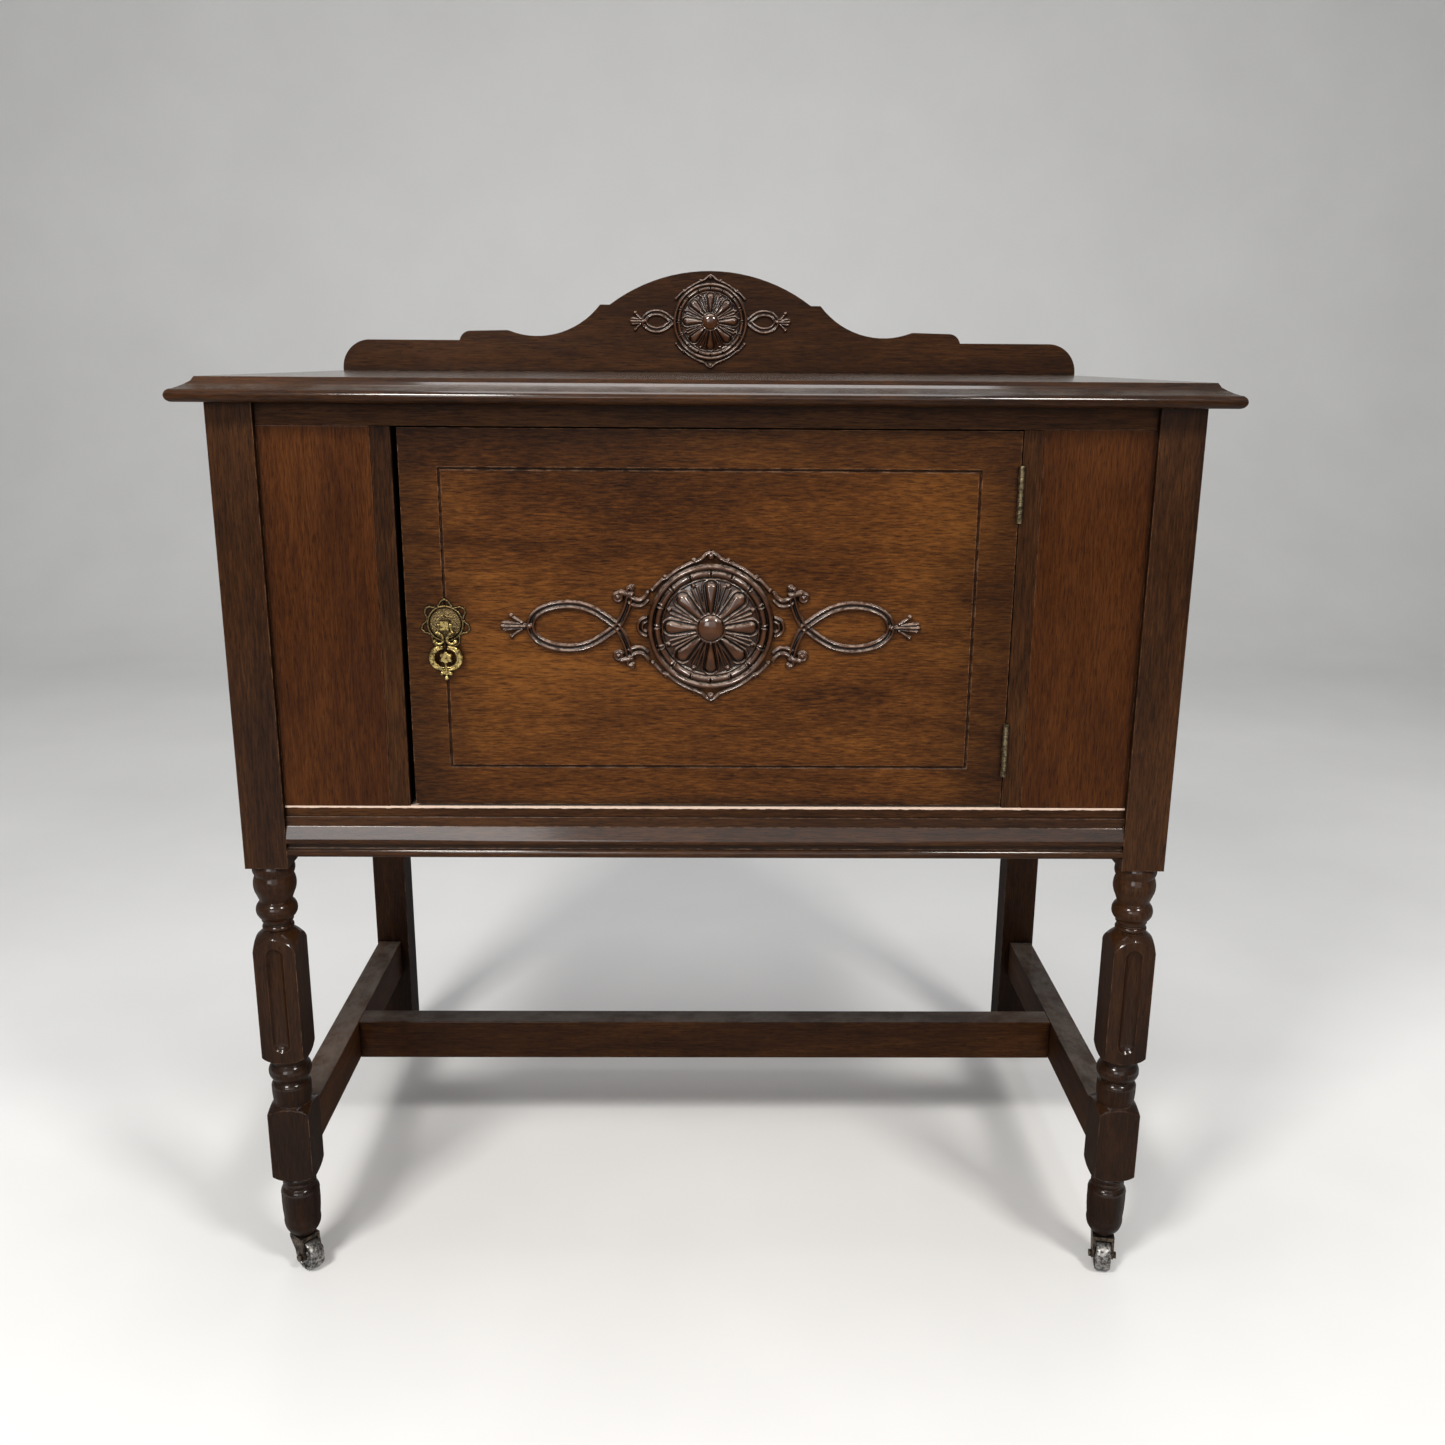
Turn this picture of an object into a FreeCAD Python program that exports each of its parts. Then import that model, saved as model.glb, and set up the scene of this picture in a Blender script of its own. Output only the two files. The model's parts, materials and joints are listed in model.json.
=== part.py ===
"""A sideboard cabinet on turned legs, with one carved door, a shaped gallery board and swivelling casters.

Millimetres. +Z is up, the front faces -Y, and the origin is on the floor at the middle of the outer box.
"""
import FreeCAD, Part
import math
import os
import re

import Sketcher

# Driving dimensions: the name, the value, and what it measures.
SIZES = (
    ("top_length", 930, "top board, side to side"),
    ("top_depth", 539, "top board, front to back"),
    ("top_height", 906, "upper face of the top board above the floor"),
    ("top_thickness", 21.5, "top board"),
    ("top_overhang", 25, "top board past the posts at the front and the sides"),
    ("rear_overhang", 4, "top board past the rear posts"),
    ("nose_radius", 5.7, "half-round nose along the lower edge of the top board"),
    ("cove_radius", 48, "hollow above the nose"),
    ("riser_setback", 17.9, "foot of the step above the hollow, behind the nose"),
    ("riser_foot", 17.7, "foot of that step above the top board's underside"),
    ("arris_setback", 20.4, "edge of the top board's flat face behind the nose"),
    ("post_size", 41, "square posts, across the flats"),
    ("leg_bottom", 41, "underside of the legs above the floor"),
    ("post_bottom", 450.1, "lower end of the front posts' square part"),
    ("block_top", 363.6, "upper end of the middle square block of a front leg"),
    ("block_bottom", 250.1, "lower end of the middle block"),
    ("foot_block_top", 186.1, "upper end of the lower block"),
    ("foot_block_bottom", 115.6, "lower end of the lower block"),
    ("flute_width", 17, "flute on the middle block"),
    ("flute_depth", 4.5, "flute on the middle block"),
    ("flute_top", 366.9, "upper end of the flute"),
    ("flute_bottom", 255.2, "lower end of the flute"),
    ("recess", 5.5, "panels and rails behind the faces of the posts"),
    ("frieze_height", 20, "rails under the top board"),
    ("rail_top", 512.1, "upper edge of the lower rails"),
    ("rail_bottom", 462.6, "lower edge of the lower rails"),
    ("rail_thickness", 22, "front rails and jambs"),
    ("board_thickness", 12, "bottom board, shelf and front panels"),
    ("side_rail_thickness", 19, "side and rear rails"),
    ("veneer_panel", 6, "side panels and back panel"),
    ("opening_half", 280.3, "half the width between the door jambs"),
    ("jamb_outer", 298.6, "outer edges of the jambs from the middle"),
    ("moulding_top", 501.6, "upper edge of the base moulding"),
    ("door_thickness", 21.5, "door"),
    ("door_left_gap", 5.5, "between the door and the left jamb"),
    ("door_right_gap", 1, "between the door and the right jamb"),
    ("door_bottom_gap", 2.5, "under the door"),
    ("door_top_gap", 1.2, "over the door"),
    ("door_margin", 34.2, "from the door's edges to the scribed line"),
    ("scribe_width", 2.6, "scribed line on the door"),
    ("scribe_depth", 2, "scribed line on the door"),
    ("gallery_half", 444.3, "half the length of the gallery board"),
    ("gallery_shift", 2.3, "gallery board to the right of the middle"),
    ("gallery_low", 36.5, "height of the gallery board's long level edges"),
    ("gallery_step", 47.5, "height of its short steps"),
    ("gallery_high", 78.7, "height of its raised middle"),
    ("gallery_thickness", 19, "gallery board"),
    ("gallery_setback", 8, "back of the gallery board in front of the top's rear edge"),
    ("stretcher_top", 165.2, "upper faces of the stretchers"),
    ("stretcher_height", 46.6, "stretchers"),
    ("stretcher_thickness", 29, "stretchers"),
    ("stretcher_outer", 437.8, "outer faces of the side stretchers from the middle"),
    ("tenon_thickness", 10, "tenons of the stretchers"),
    ("tenon_height", 30, "tenons of the stretchers"),
    ("tenon_length", 15, "tenons of the stretchers"),
    ("shelf_top", 693.6, "upper face of the shelf"),
    ("cleat", 15, "cleats under the shelf and the bottom board"),
    ("glue_block", 25, "legs of the three-cornered glue blocks"),
    ("glue_block_length", 60, "glue blocks"),
    ("hinge_length", 51, "butt hinges"),
    ("hinge_top", 833.1, "upper end of the upper hinge"),
    ("hinge_spacing", 238, "from the upper hinge to the lower one"),
    ("leaf_thickness", 1.2, "hinge leaves"),
    ("leaf_width", 18, "hinge leaves, let into the wood"),
    ("knuckle_radius", 2.5, "hinge knuckles"),
    ("knuckle_gap", 0.3, "between neighbouring knuckles"),
    ("pin_radius", 1.2, "hinge pins"),
    ("running_clearance", 0.05, "radial play of a pin or stem in its hole"),
    ("pull_across", 239.2, "door pull from the middle, to the left"),
    ("pull_height", 687.1, "centre of the door pull's plate"),
    ("pull_plate_radius", 15.3, "door pull's plate"),
    ("pull_pin_reach", 6.5, "pivot of the drop in front of the door"),
    ("pull_pin_radius", 1.2, "pivot of the drop"),
    ("bolt_radius", 2, "bolt of the door pull"),
    ("door_ornament_radius", 57.5, "medallion on the door"),
    ("gallery_ornament_radius", 44.5, "medallion on the gallery board"),
    ("wheel_radius", 16, "caster wheels"),
    ("wheel_width", 15, "caster wheels"),
    ("caster_trail", 8, "wheel axle behind the caster's stem"),
    ("fork_thickness", 2.5, "cheeks of the caster forks"),
    ("fork_play", 1, "between a wheel and each cheek"),
    ("axle_radius", 2.2, "caster axles"),
    ("stem_radius", 4, "caster stems"),
    ("stem_length", 30, "caster stems"),
    ("socket_radius", 6, "caster sockets"),
    ("socket_flange", 1.5, "flanges of the caster sockets"),
)

LEFT, RIGHT = 1, -1
X_AXIS = FreeCAD.Vector(1, 0, 0)
Y_AXIS = FreeCAD.Vector(0, 1, 0)
Z_AXIS = FreeCAD.Vector(0, 0, 1)

doc = FreeCAD.newDocument("Cabinet")
sheet = doc.addObject("Spreadsheet::Sheet", "Sizes")
for row, (alias, number, meaning) in enumerate(SIZES, start=1):
    sheet.set(f"A{row}", alias)
    sheet.set(f"B{row}", str(number))
    sheet.set(f"C{row}", meaning)
    sheet.setAlias(f"B{row}", alias)
doc.recompute()

ALIAS = re.compile(r"\b(" + "|".join(alias for alias, number, meaning in SIZES) + r")\b")

# Places that several pieces share, as expressions over the sheet's names.
FRONT = "(top_overhang - top_depth / 2)"
BACK = "(top_depth / 2 - rear_overhang)"
CARCASE_HALF = "(top_length / 2 - top_overhang)"
POST_INNER = f"({CARCASE_HALF} - post_size)"
CARCASE_TOP = "(top_height - top_thickness)"
FRIEZE_BOTTOM = f"({CARCASE_TOP} - frieze_height)"
FACE = f"({FRONT} + recess)"
PANEL_OUTER = f"({CARCASE_HALF} - recess)"
DOOR_LEFT = "(door_left_gap - opening_half)"
DOOR_RIGHT = "(opening_half - door_right_gap)"
DOOR_BOTTOM = "(rail_top + door_bottom_gap)"
DOOR_TOP = f"({FRIEZE_BOTTOM} - door_top_gap)"
DOOR_BACK = f"({FACE} + door_thickness)"
HINGE_X = "(opening_half - door_right_gap / 2)"
HINGE_Y = f"({FACE} - knuckle_radius - 0.1)"
MIDDLE_Y = f"(({FRONT} + {BACK}) / 2)"
SIDE_STRETCHER_X = "(stretcher_outer - stretcher_thickness / 2)"
STRETCHER_Z = "(stretcher_top - stretcher_height / 2)"

nodes = []


def full(expression):
    """The expression with the sheet's name put before each of its aliases."""
    return ALIAS.sub(r"Sizes.\1", expression)


def size(expression):
    """The number that an expression over the sheet's names gives now."""
    return float(sheet.evalExpression(full(expression)))


def bind(thing, **sizes):
    """Bind properties of an object to expressions over the sheet's names."""
    for name, expression in sizes.items():
        thing.setExpression(name, full(expression))
    return thing


def about(axis, angle):
    """A turn about an axis, in degrees."""
    return FreeCAD.Rotation(axis, angle)


def place(thing, x="0", y="0", z="0", turn=None):
    """Bind where an object stands, after an optional turn."""
    if turn:
        thing.Placement = FreeCAD.Placement(FreeCAD.Vector(), turn)
    for axis, expression in (("x", x), ("y", y), ("z", z)):
        thing.setExpression(".Placement.Base." + axis, full(expression))
    return thing


def keep(thing):
    """Mark an object as a sub-part of the cabinet."""
    nodes.append(thing)
    return thing


def block(label, corner, extent):
    """A squared piece, from its lowest corner and its three sizes."""
    box = doc.addObject("Part::Box", label)
    bind(box, Length=extent[0], Width=extent[1], Height=extent[2])
    return place(box, *corner)


def rod(label, base, radius, length, turn=None):
    """A round bar from the centre of its base."""
    return place(bind(doc.addObject("Part::Cylinder", label), Radius=radius, Height=length), *base, turn)


def fuse(label, shapes):
    """Several shapes joined into one piece."""
    joined = doc.addObject("Part::MultiFuse", label)
    joined.Shapes = shapes
    return joined


def cut(label, base, tool):
    """One shape with another taken out of it."""
    result = doc.addObject("Part::Cut", label)
    result.Base = base
    result.Tool = tool
    return result


def group(label, members):
    """Identical pieces that share one node and stay separate solids."""
    compound = doc.addObject("Part::Compound", label)
    compound.Links = members
    return compound


def make_body(label, x="0", y="0", z="0", turn=None):
    """An empty body at its place."""
    return place(doc.addObject("PartDesign::Body", label), x, y, z, turn)


def drawing_on(body, role, offset="0"):
    """An empty sketch on one of the body's own origin planes, or at an offset from it."""
    drawing = body.newObject("Sketcher::SketchObject", "Drawing")
    support = next(feature for feature in body.Origin.OriginFeatures if feature.Role == role)
    drawing.AttachmentSupport = [(support, "")]
    drawing.MapMode = "FlatFace"
    drawing.setExpression(".AttachmentOffset.Base.z", full(offset))
    return drawing


def arc_between(start, end, radius, side):
    """The shorter arc that bulges to the given side on the way from start to end, drawn anticlockwise."""
    sagitta = radius - (radius ** 2 - (end - start).Length ** 2 / 4) ** 0.5
    leftward = FreeCAD.Vector(start.y - end.y, end.x - start.x, 0).normalize()
    crown = (start + end) / 2 + leftward * sagitta * side
    return Part.Arc(end, crown, start) if side == LEFT else Part.Arc(start, crown, end)


def hold(drawing, value, expression, kind, *places):
    """Give a sketch one constraint whose size is bound to an expression."""
    number = drawing.addConstraint(Sketcher.Constraint(kind, *places, value))
    drawing.setExpression(f"Constraints[{number}]", full(expression))


def outline(drawing, points, arcs=None):
    """Draw a closed line through points. arcs gives the side that starts at a point a radius and a bulge."""
    arcs = arcs or {}
    corners = [FreeCAD.Vector(size(across), size(up), 0) for across, up in points]
    ends = []
    for number, start in enumerate(corners):
        end = corners[(number + 1) % len(corners)]
        if number in arcs:
            radius, side = arcs[number]
            edge = drawing.addGeometry(arc_between(start, end, size(radius), side))
            hold(drawing, size(radius), radius, "Radius", edge)
        else:
            edge = drawing.addGeometry(Part.LineSegment(start, end))
        head, tail = (1, 2) if drawing.getPoint(edge, 1).isEqual(start, 1e-6) else (2, 1)
        hold(drawing, start.x, points[number][0], "DistanceX", edge, head)
        hold(drawing, start.y, points[number][1], "DistanceY", edge, head)
        ends.append((edge, head, tail))
    for (edge, head, tail), (following, its_head, its_tail) in zip(ends, ends[1:] + ends[:1]):
        drawing.addConstraint(Sketcher.Constraint("Coincident", edge, tail, following, its_head))
    return drawing


def rectangle(drawing, left, bottom, right, top):
    """A rectangle from its four sides."""
    return outline(drawing, [(left, bottom), (right, bottom), (right, top), (left, top)])


def extrude(body, kind, drawing, length, centred=False, reverse=False):
    """A Pad or a Pocket of a sketch."""
    feature = body.newObject("PartDesign::" + kind, kind)
    feature.Profile = drawing
    feature.Midplane = centred
    feature.Reversed = reverse
    return bind(feature, Length=length)


def turn_about(body, kind, drawing, axis="V_Axis"):
    """A Revolution or a Groove of a sketch about one of its axes."""
    feature = body.newObject("PartDesign::" + kind, kind)
    feature.Profile = drawing
    feature.ReferenceAxis = (drawing, [axis])
    feature.Angle = 360
    return feature


def carve_box(body, corner, extent):
    """Take a squared hole out of a body."""
    box = body.newObject("PartDesign::SubtractiveBox", "Mortise")
    bind(box, Length=extent[0], Width=extent[1], Height=extent[2])
    return place(box, *corner)


# Top and gallery

def moulded_edge(end, side):
    """The top board's edge moulding, from its upper arris down to its underside. side is the way it faces."""
    def inward(setback):
        return f"{end} - ({side}) * {setback}"
    points = [(inward("arris_setback"), "top_thickness"), (inward("riser_setback"), "riser_foot"),
              (inward("nose_radius"), "2 * nose_radius"), (end, "nose_radius"), (inward("nose_radius"), "0")]
    arcs = {1: ("cove_radius", -side), 2: ("nose_radius", side), 3: ("nose_radius", side)}
    return points, arcs


def top_board():
    """The top, with a half-round nose under a hollow along its front edge and both ends."""
    body = make_body("top_board", z=CARCASE_TOP)
    front, arcs = moulded_edge("-top_depth / 2", -1)
    profile = [("top_depth / 2", "0"), ("top_depth / 2", "top_thickness")] + front
    arcs = {number + 2: arc for number, arc in arcs.items()}
    extrude(body, "Pad", outline(drawing_on(body, "YZ_Plane"), profile, arcs), "top_length", centred=True)
    for side in (-1, 1):
        edge, arcs = moulded_edge(f"{side} * top_length / 2", side)
        past = f"{side} * (top_length / 2 + nose_radius)"
        drawing = outline(drawing_on(body, "XZ_Plane"), edge + [(past, "0"), (past, "top_thickness")], arcs)
        extrude(body, "Pocket", drawing, "top_depth + nose_radius", centred=True)
    return keep(body)


def gallery_board():
    """The shaped board along the back of the top, stepping up to its raised middle in three sweeps."""
    body = make_body("gallery_board", "gallery_shift", "top_depth / 2 - gallery_setback", "top_height")
    # From an end to the middle: end, sweep, level edge, hollow, short step, long sweep, raised middle.
    half = [("gallery_half", "0"), ("gallery_half", "3"), ("gallery_half - 31", "gallery_low"),
            ("302.5", "gallery_low"), ("288", "gallery_step"), ("245", "gallery_step + 1"),
            ("132.5", "gallery_high"), ("121", "gallery_high")]
    left = [(f"-({across})", up) for across, up in half]
    end_sweep, hollow, long_sweep, crown = "34", "14", "99", "206"
    arcs = {1: (end_sweep, LEFT), 3: (hollow, LEFT), 5: (long_sweep, RIGHT), 7: (crown, LEFT),
            9: (long_sweep, RIGHT), 11: (hollow, LEFT), 13: (end_sweep, LEFT)}
    drawing = outline(drawing_on(body, "XZ_Plane"), left + half[::-1], arcs)
    extrude(body, "Pad", drawing, "gallery_thickness")
    return keep(body)


# Posts and legs

# Each turned stretch: radius, depth below its upper end, and the arc that leads on to the next point.
UPPER_TURNING = ((18.6, 0, (10.5, RIGHT)), (18.3, 12, (22, RIGHT)), (19.5, 28, None),
                 (15.2, 39, (11.1, RIGHT)), (15.2, 57, None), (15.2, 59.5, None), (12.8, 60.5, None),
                 (12.8, 63, None), (13.4, 63, (3.4, RIGHT)), (13.4, 69, None), (14, 69, (40, RIGHT)),
                 (29, 86.5, None))
MIDDLE_TURNING = ((29, 0, (16, RIGHT)), (17.2, 7.5, None), (16.6, 12.5, (12, RIGHT)), (16, 31.5, None),
                  (16, 32.5, (7.5, RIGHT)), (19.4, 40, (90, RIGHT)), (18.2, 57.5, None), (29, 64, None))
FOOT_TURNING = ((29, 0, (16, RIGHT)), (17, 5.5, None), (16.8, 7, (3.6, RIGHT)), (16.8, 12, None),
                (16, 13.4, (5.5, RIGHT)), (16, 19, None), (16.4, 20, (9, RIGHT)), (19.2, 28.5, (200, RIGHT)),
                (18.2, 57, (20, RIGHT)), (12.5, 74.6, None))


def turn_down(body, turning, upper_end):
    """Turn a stretch of the square post on the lathe. What is left of its corners makes arched shoulders."""
    lowest = turning[-1][1]
    profile = [(f"{radius}", f"{upper_end} - {depth}") for radius, depth, arc in turning]
    waste = [("post_size", f"{upper_end} - {lowest}"), ("post_size", upper_end)]
    arcs = {number: (f"{arc[0]}", -arc[1]) for number, (radius, depth, arc) in enumerate(turning) if arc}
    turn_about(body, "Groove", outline(drawing_on(body, "XZ_Plane"), profile + waste, arcs))


def flute(body):
    """The round-ended hollow in the front of a leg's middle block."""
    radius = "((flute_width ^ 2 / 4 + flute_depth ^ 2) / (2 * flute_depth))"
    depth = f"-(post_size / 2 + {radius} - flute_depth)"
    low = "flute_bottom + flute_width / 2"
    high = "flute_top - flute_width / 2"
    channel = body.newObject("PartDesign::SubtractiveCylinder", "Flute")
    place(bind(channel, Radius=radius, Height=f"({high}) - ({low})"), "0", depth, low)
    for height in (low, high):
        end = body.newObject("PartDesign::SubtractiveSphere", "FluteEnd")
        place(bind(end, Radius=radius), "0", depth, height)


def post(label, side, row):
    """A corner post and its leg, one piece of wood. side is -1 or 1, row is front or rear."""
    across = f"{side} * ({CARCASE_HALF} - post_size / 2)"
    along = {"front": f"{FRONT} + post_size / 2", "rear": f"{BACK} - post_size / 2"}[row]
    body = make_body(label, across, along)
    half = "post_size / 2"
    square = rectangle(drawing_on(body, "XY_Plane", "leg_bottom"), f"-{half}", f"-{half}", half, half)
    extrude(body, "Pad", square, f"{CARCASE_TOP} - leg_bottom")
    if row == "front":
        turn_down(body, UPPER_TURNING, "post_bottom")
        turn_down(body, MIDDLE_TURNING, "block_bottom")
        turn_down(body, FOOT_TURNING, "foot_block_bottom")
        flute(body)
    inward = {"front": f"{half} - tenon_length", "rear": f"-{half}"}[row]
    tenon_x = f"{side} * ({SIDE_STRETCHER_X} - {CARCASE_HALF} + {half}) - tenon_thickness / 2"
    carve_box(body, (tenon_x, inward, f"{STRETCHER_Z} - tenon_height / 2"),
              ("tenon_thickness", "tenon_length", "tenon_height"))
    bore = body.newObject("PartDesign::SubtractiveCylinder", "CasterBore")
    place(bind(bore, Radius="socket_radius", Height="stem_length + 5"), z="leg_bottom")
    return keep(body)


def posts():
    """The four corner posts."""
    for side, name in ((-1, "left"), (1, "right")):
        for row in ("front", "rear"):
            post(f"post_{row}_{name}", side, row)


# Carcase

def rails():
    """Rails between the posts on all four sides."""
    long_rail = f"2 * {POST_INNER}"
    side_rail = f"{BACK} - {FRONT} - 2 * post_size"
    rear_y = f"{BACK} - recess - veneer_panel - side_rail_thickness"
    upper, lower = FRIEZE_BOTTOM, "rail_bottom"
    lower_height = "rail_top - rail_bottom"
    heights = ((upper, "upper", "frieze_height"), (lower, "lower", lower_height))
    for (height, _, tall), label in zip(heights, ("frieze_rail", "lower_rail")):
        keep(block(label, (f"-{POST_INNER}", FACE, height), (long_rail, "rail_thickness", tall)))
    for height, name, tall in heights:
        keep(block(f"rear_rail_{name}", (f"-{POST_INNER}", rear_y, height),
                   (long_rail, "side_rail_thickness", tall)))
        for side, low_x in (("left", f"-{PANEL_OUTER}"), ("right", f"{PANEL_OUTER} - side_rail_thickness")):
            keep(block(f"side_rail_{name}_{side}", (low_x, f"{FRONT} + post_size", height),
                       ("side_rail_thickness", side_rail, tall)))


def base_moulding():
    """The moulding planted on the lower rail: a fillet, a slope, a quirk and a bead along the foot."""
    body = make_body("base_moulding", y=FACE, z="moulding_top")
    foot, bead_top, quirk_top, slope_foot, slope_top = "-40", "-31.5", "-27.5", "-21.5", "-9.5"
    fillet, quirk, bead = "-1.2", "-1.4", "-2.6"
    slope_root, slope_reach, slope_crest = "-3.4", "-5.3", "-1.9"
    bead_round, slope_round = "4.6", "4.5"
    profile = [("0", "0"), ("0", foot), (bead, foot), (bead, bead_top), (quirk, bead_top), (quirk, quirk_top),
               (slope_root, quirk_top), (slope_reach, slope_foot), (slope_crest, slope_top),
               (fillet, slope_top), (fillet, "0")]
    arcs = {2: (bead_round, LEFT), 6: (slope_round, LEFT)}
    drawing = outline(drawing_on(body, "YZ_Plane"), profile, arcs)
    extrude(body, "Pad", drawing, f"2 * {POST_INNER}", centred=True)
    return keep(body)


def panels():
    """The fixed front panels, the jambs, the side panels and the back."""
    tall = f"{FRIEZE_BOTTOM} - rail_top"
    panel_width = f"{POST_INNER} - jamb_outer"
    jamb_width = "jamb_outer - opening_half"
    sides = (("left", f"-{POST_INNER}", "-jamb_outer", f"-{PANEL_OUTER}"),
             ("right", "jamb_outer", "opening_half", f"{PANEL_OUTER} - veneer_panel"))
    for side, panel_x, jamb_x, side_x in sides:
        keep(block(f"front_panel_{side}", (panel_x, FACE, "rail_top"),
                   (panel_width, "board_thickness", tall)))
        if side == "left":
            keep(block("jamb_left", (jamb_x, FACE, "rail_top"), (jamb_width, "rail_thickness", tall)))
        keep(block(f"side_panel_{side}", (side_x, f"{FRONT} + post_size", "rail_top"),
                   ("veneer_panel", f"{BACK} - {FRONT} - 2 * post_size", tall)))
    keep(block("back_panel", (f"-{POST_INNER}", f"{BACK} - recess - veneer_panel", "rail_bottom"),
               (f"2 * {POST_INNER}", "veneer_panel", f"{CARCASE_TOP} - rail_bottom")))


def jamb_right():
    """The hinge jamb, with a mortise for each hinge leaf."""
    body = make_body("jamb_right", "opening_half", FACE, "rail_top")
    foot = rectangle(drawing_on(body, "XY_Plane"), "0", "0", "jamb_outer - opening_half", "rail_thickness")
    extrude(body, "Pad", foot, f"{FRIEZE_BOTTOM} - rail_top")
    for low in hinge_heights():
        carve_box(body, ("0", "0", f"{low} - rail_top"), ("leaf_thickness", "leaf_width", "hinge_length"))
    return keep(body)


def bottom_board():
    """The cabinet's floor, notched around the posts."""
    wide = f"({PANEL_OUTER} - side_rail_thickness)"
    narrow = POST_INNER
    front, front_notch = f"({FACE} + rail_thickness)", f"({FRONT} + post_size)"
    rear_notch, rear = f"({BACK} - post_size)", f"({BACK} - recess - veneer_panel - side_rail_thickness)"
    right = [(narrow, front), (narrow, front_notch), (wide, front_notch), (wide, rear_notch),
             (narrow, rear_notch), (narrow, rear)]
    body = make_body("bottom_board", z="rail_top - board_thickness")
    left = [(f"-{across}", along) for across, along in right]
    extrude(body, "Pad", outline(drawing_on(body, "XY_Plane"), right + left[::-1]), "board_thickness")
    return keep(body)


def shelf():
    """The shelf at half height, notched around the rear posts."""
    wide, narrow = f"({PANEL_OUTER} - veneer_panel)", POST_INNER
    front = f"({FRONT} + post_size + 9)"
    rear_notch, rear = f"({BACK} - post_size)", f"({BACK} - recess - veneer_panel)"
    right = [(wide, front), (wide, rear_notch), (narrow, rear_notch), (narrow, rear)]
    body = make_body("shelf", z="shelf_top - board_thickness")
    left = [(f"-{across}", along) for across, along in right]
    extrude(body, "Pad", outline(drawing_on(body, "XY_Plane"), right + left[::-1]), "board_thickness")
    return keep(body)


def cleats():
    """Strips along both sides that carry the shelf and the bottom board."""
    deep = f"{BACK} - {FRONT} - 2 * post_size"
    pairs = (("shelf_cleats", f"({PANEL_OUTER} - veneer_panel)", "shelf_top - board_thickness - cleat"),
             ("bottom_cleats", f"({PANEL_OUTER} - side_rail_thickness)",
              "rail_top - board_thickness - cleat"))
    for label, wall, height in pairs:
        strips = [block(f"{label}_{side}", (low_x, f"{FRONT} + post_size", height), ("cleat", deep, "cleat"))
                  for side, low_x in (("left", f"-{wall}"), ("right", f"{wall} - cleat"))]
        keep(group(label, strips))


def glue_block(label, x, y, turn):
    """A three-cornered block between a rail and the top. turn is the way it faces, in degrees."""
    body = make_body(label, x, y, CARCASE_TOP, about(Z_AXIS, turn))
    triangle = outline(drawing_on(body, "YZ_Plane"), [("0", "0"), ("0", "-glue_block"), ("glue_block", "0")])
    extrude(body, "Pad", triangle, "glue_block_length", centred=True)
    return body


def glue_blocks():
    """Two glue blocks behind the frieze rail, two in front of the rear rail and one at each side."""
    spacing = 180
    front_y = f"{FACE} + rail_thickness"
    rear_y = f"{BACK} - recess - veneer_panel - side_rail_thickness"
    side_x = f"({PANEL_OUTER} - side_rail_thickness)"
    places = [(f"{side * spacing}", front_y, 0) for side in (-1, 1)]
    places += [(f"{side * spacing}", rear_y, 180) for side in (-1, 1)]
    places += [(f"-{side_x}", MIDDLE_Y, -90), (side_x, MIDDLE_Y, 90)]
    members = [glue_block(f"glue_block_{number}", *where) for number, where in enumerate(places)]
    keep(group("glue_blocks", members))


def wood_screw(label, x, y, z, axis, angle, length="14"):
    """A countersunk screw, drawn point down and then turned about the middle of its head's face."""
    head = bind(doc.addObject("Part::Cone", label + "_head"), Radius1="1.3", Radius2="2.8", Height="1.5")
    head.setExpression(".Placement.Base.z", "-1.5")
    shank = bind(doc.addObject("Part::Cylinder", label + "_shank"), Radius="1.3", Height=length)
    shank.setExpression(".Placement.Base.z", full(f"-({length})"))
    return place(fuse(label, [head, shank]), x, y, z, about(axis, angle))


def top_screws():
    """Screws up through the upper rails into the top."""
    spacing = 300
    rows = (f"{FACE} + rail_thickness / 2", f"{BACK} - recess - veneer_panel - side_rail_thickness / 2")
    spots = [(f"{side * spacing}", row) for row in rows for side in (-1, 0, 1)]
    screws = [wood_screw(f"top_screw_{number}", x, y, f"{FRIEZE_BOTTOM} + 0.2", X_AXIS, 180, "32")
              for number, (x, y) in enumerate(spots)]
    keep(group("top_screws", screws))


def door_stop():
    """The strip behind the left jamb that the door closes against."""
    behind_door = 12
    width = f"jamb_outer - opening_half + {behind_door}"
    keep(block("door_stop", ("-jamb_outer", f"{FACE} + rail_thickness", "rail_top"),
               (width, "board_thickness", f"{FRIEZE_BOTTOM} - rail_top")))


# Stretchers

def stretcher(label, x, y, length, turn, mortise_at=None):
    """A bar along its own X axis, with a tenon at each end."""
    body = make_body(label, x, y, STRETCHER_Z, about(Z_AXIS, turn))
    half, tall = "stretcher_thickness / 2", "stretcher_height / 2"
    section = rectangle(drawing_on(body, "YZ_Plane"), f"-{half}", f"-{tall}", half, tall)
    extrude(body, "Pad", section, length, centred=True)
    tenon = rectangle(drawing_on(body, "YZ_Plane"), "-tenon_thickness / 2", "-tenon_height / 2",
                      "tenon_thickness / 2", "tenon_height / 2")
    extrude(body, "Pad", tenon, f"{length} + 2 * tenon_length", centred=True)
    if mortise_at:
        low = {"inner_left": f"-{half}", "inner_right": f"{half} - tenon_length"}[mortise_at]
        carve_box(body, ("-tenon_thickness / 2", low, "-tenon_height / 2"),
                  ("tenon_thickness", "tenon_length", "tenon_height"))
    return keep(body)


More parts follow.
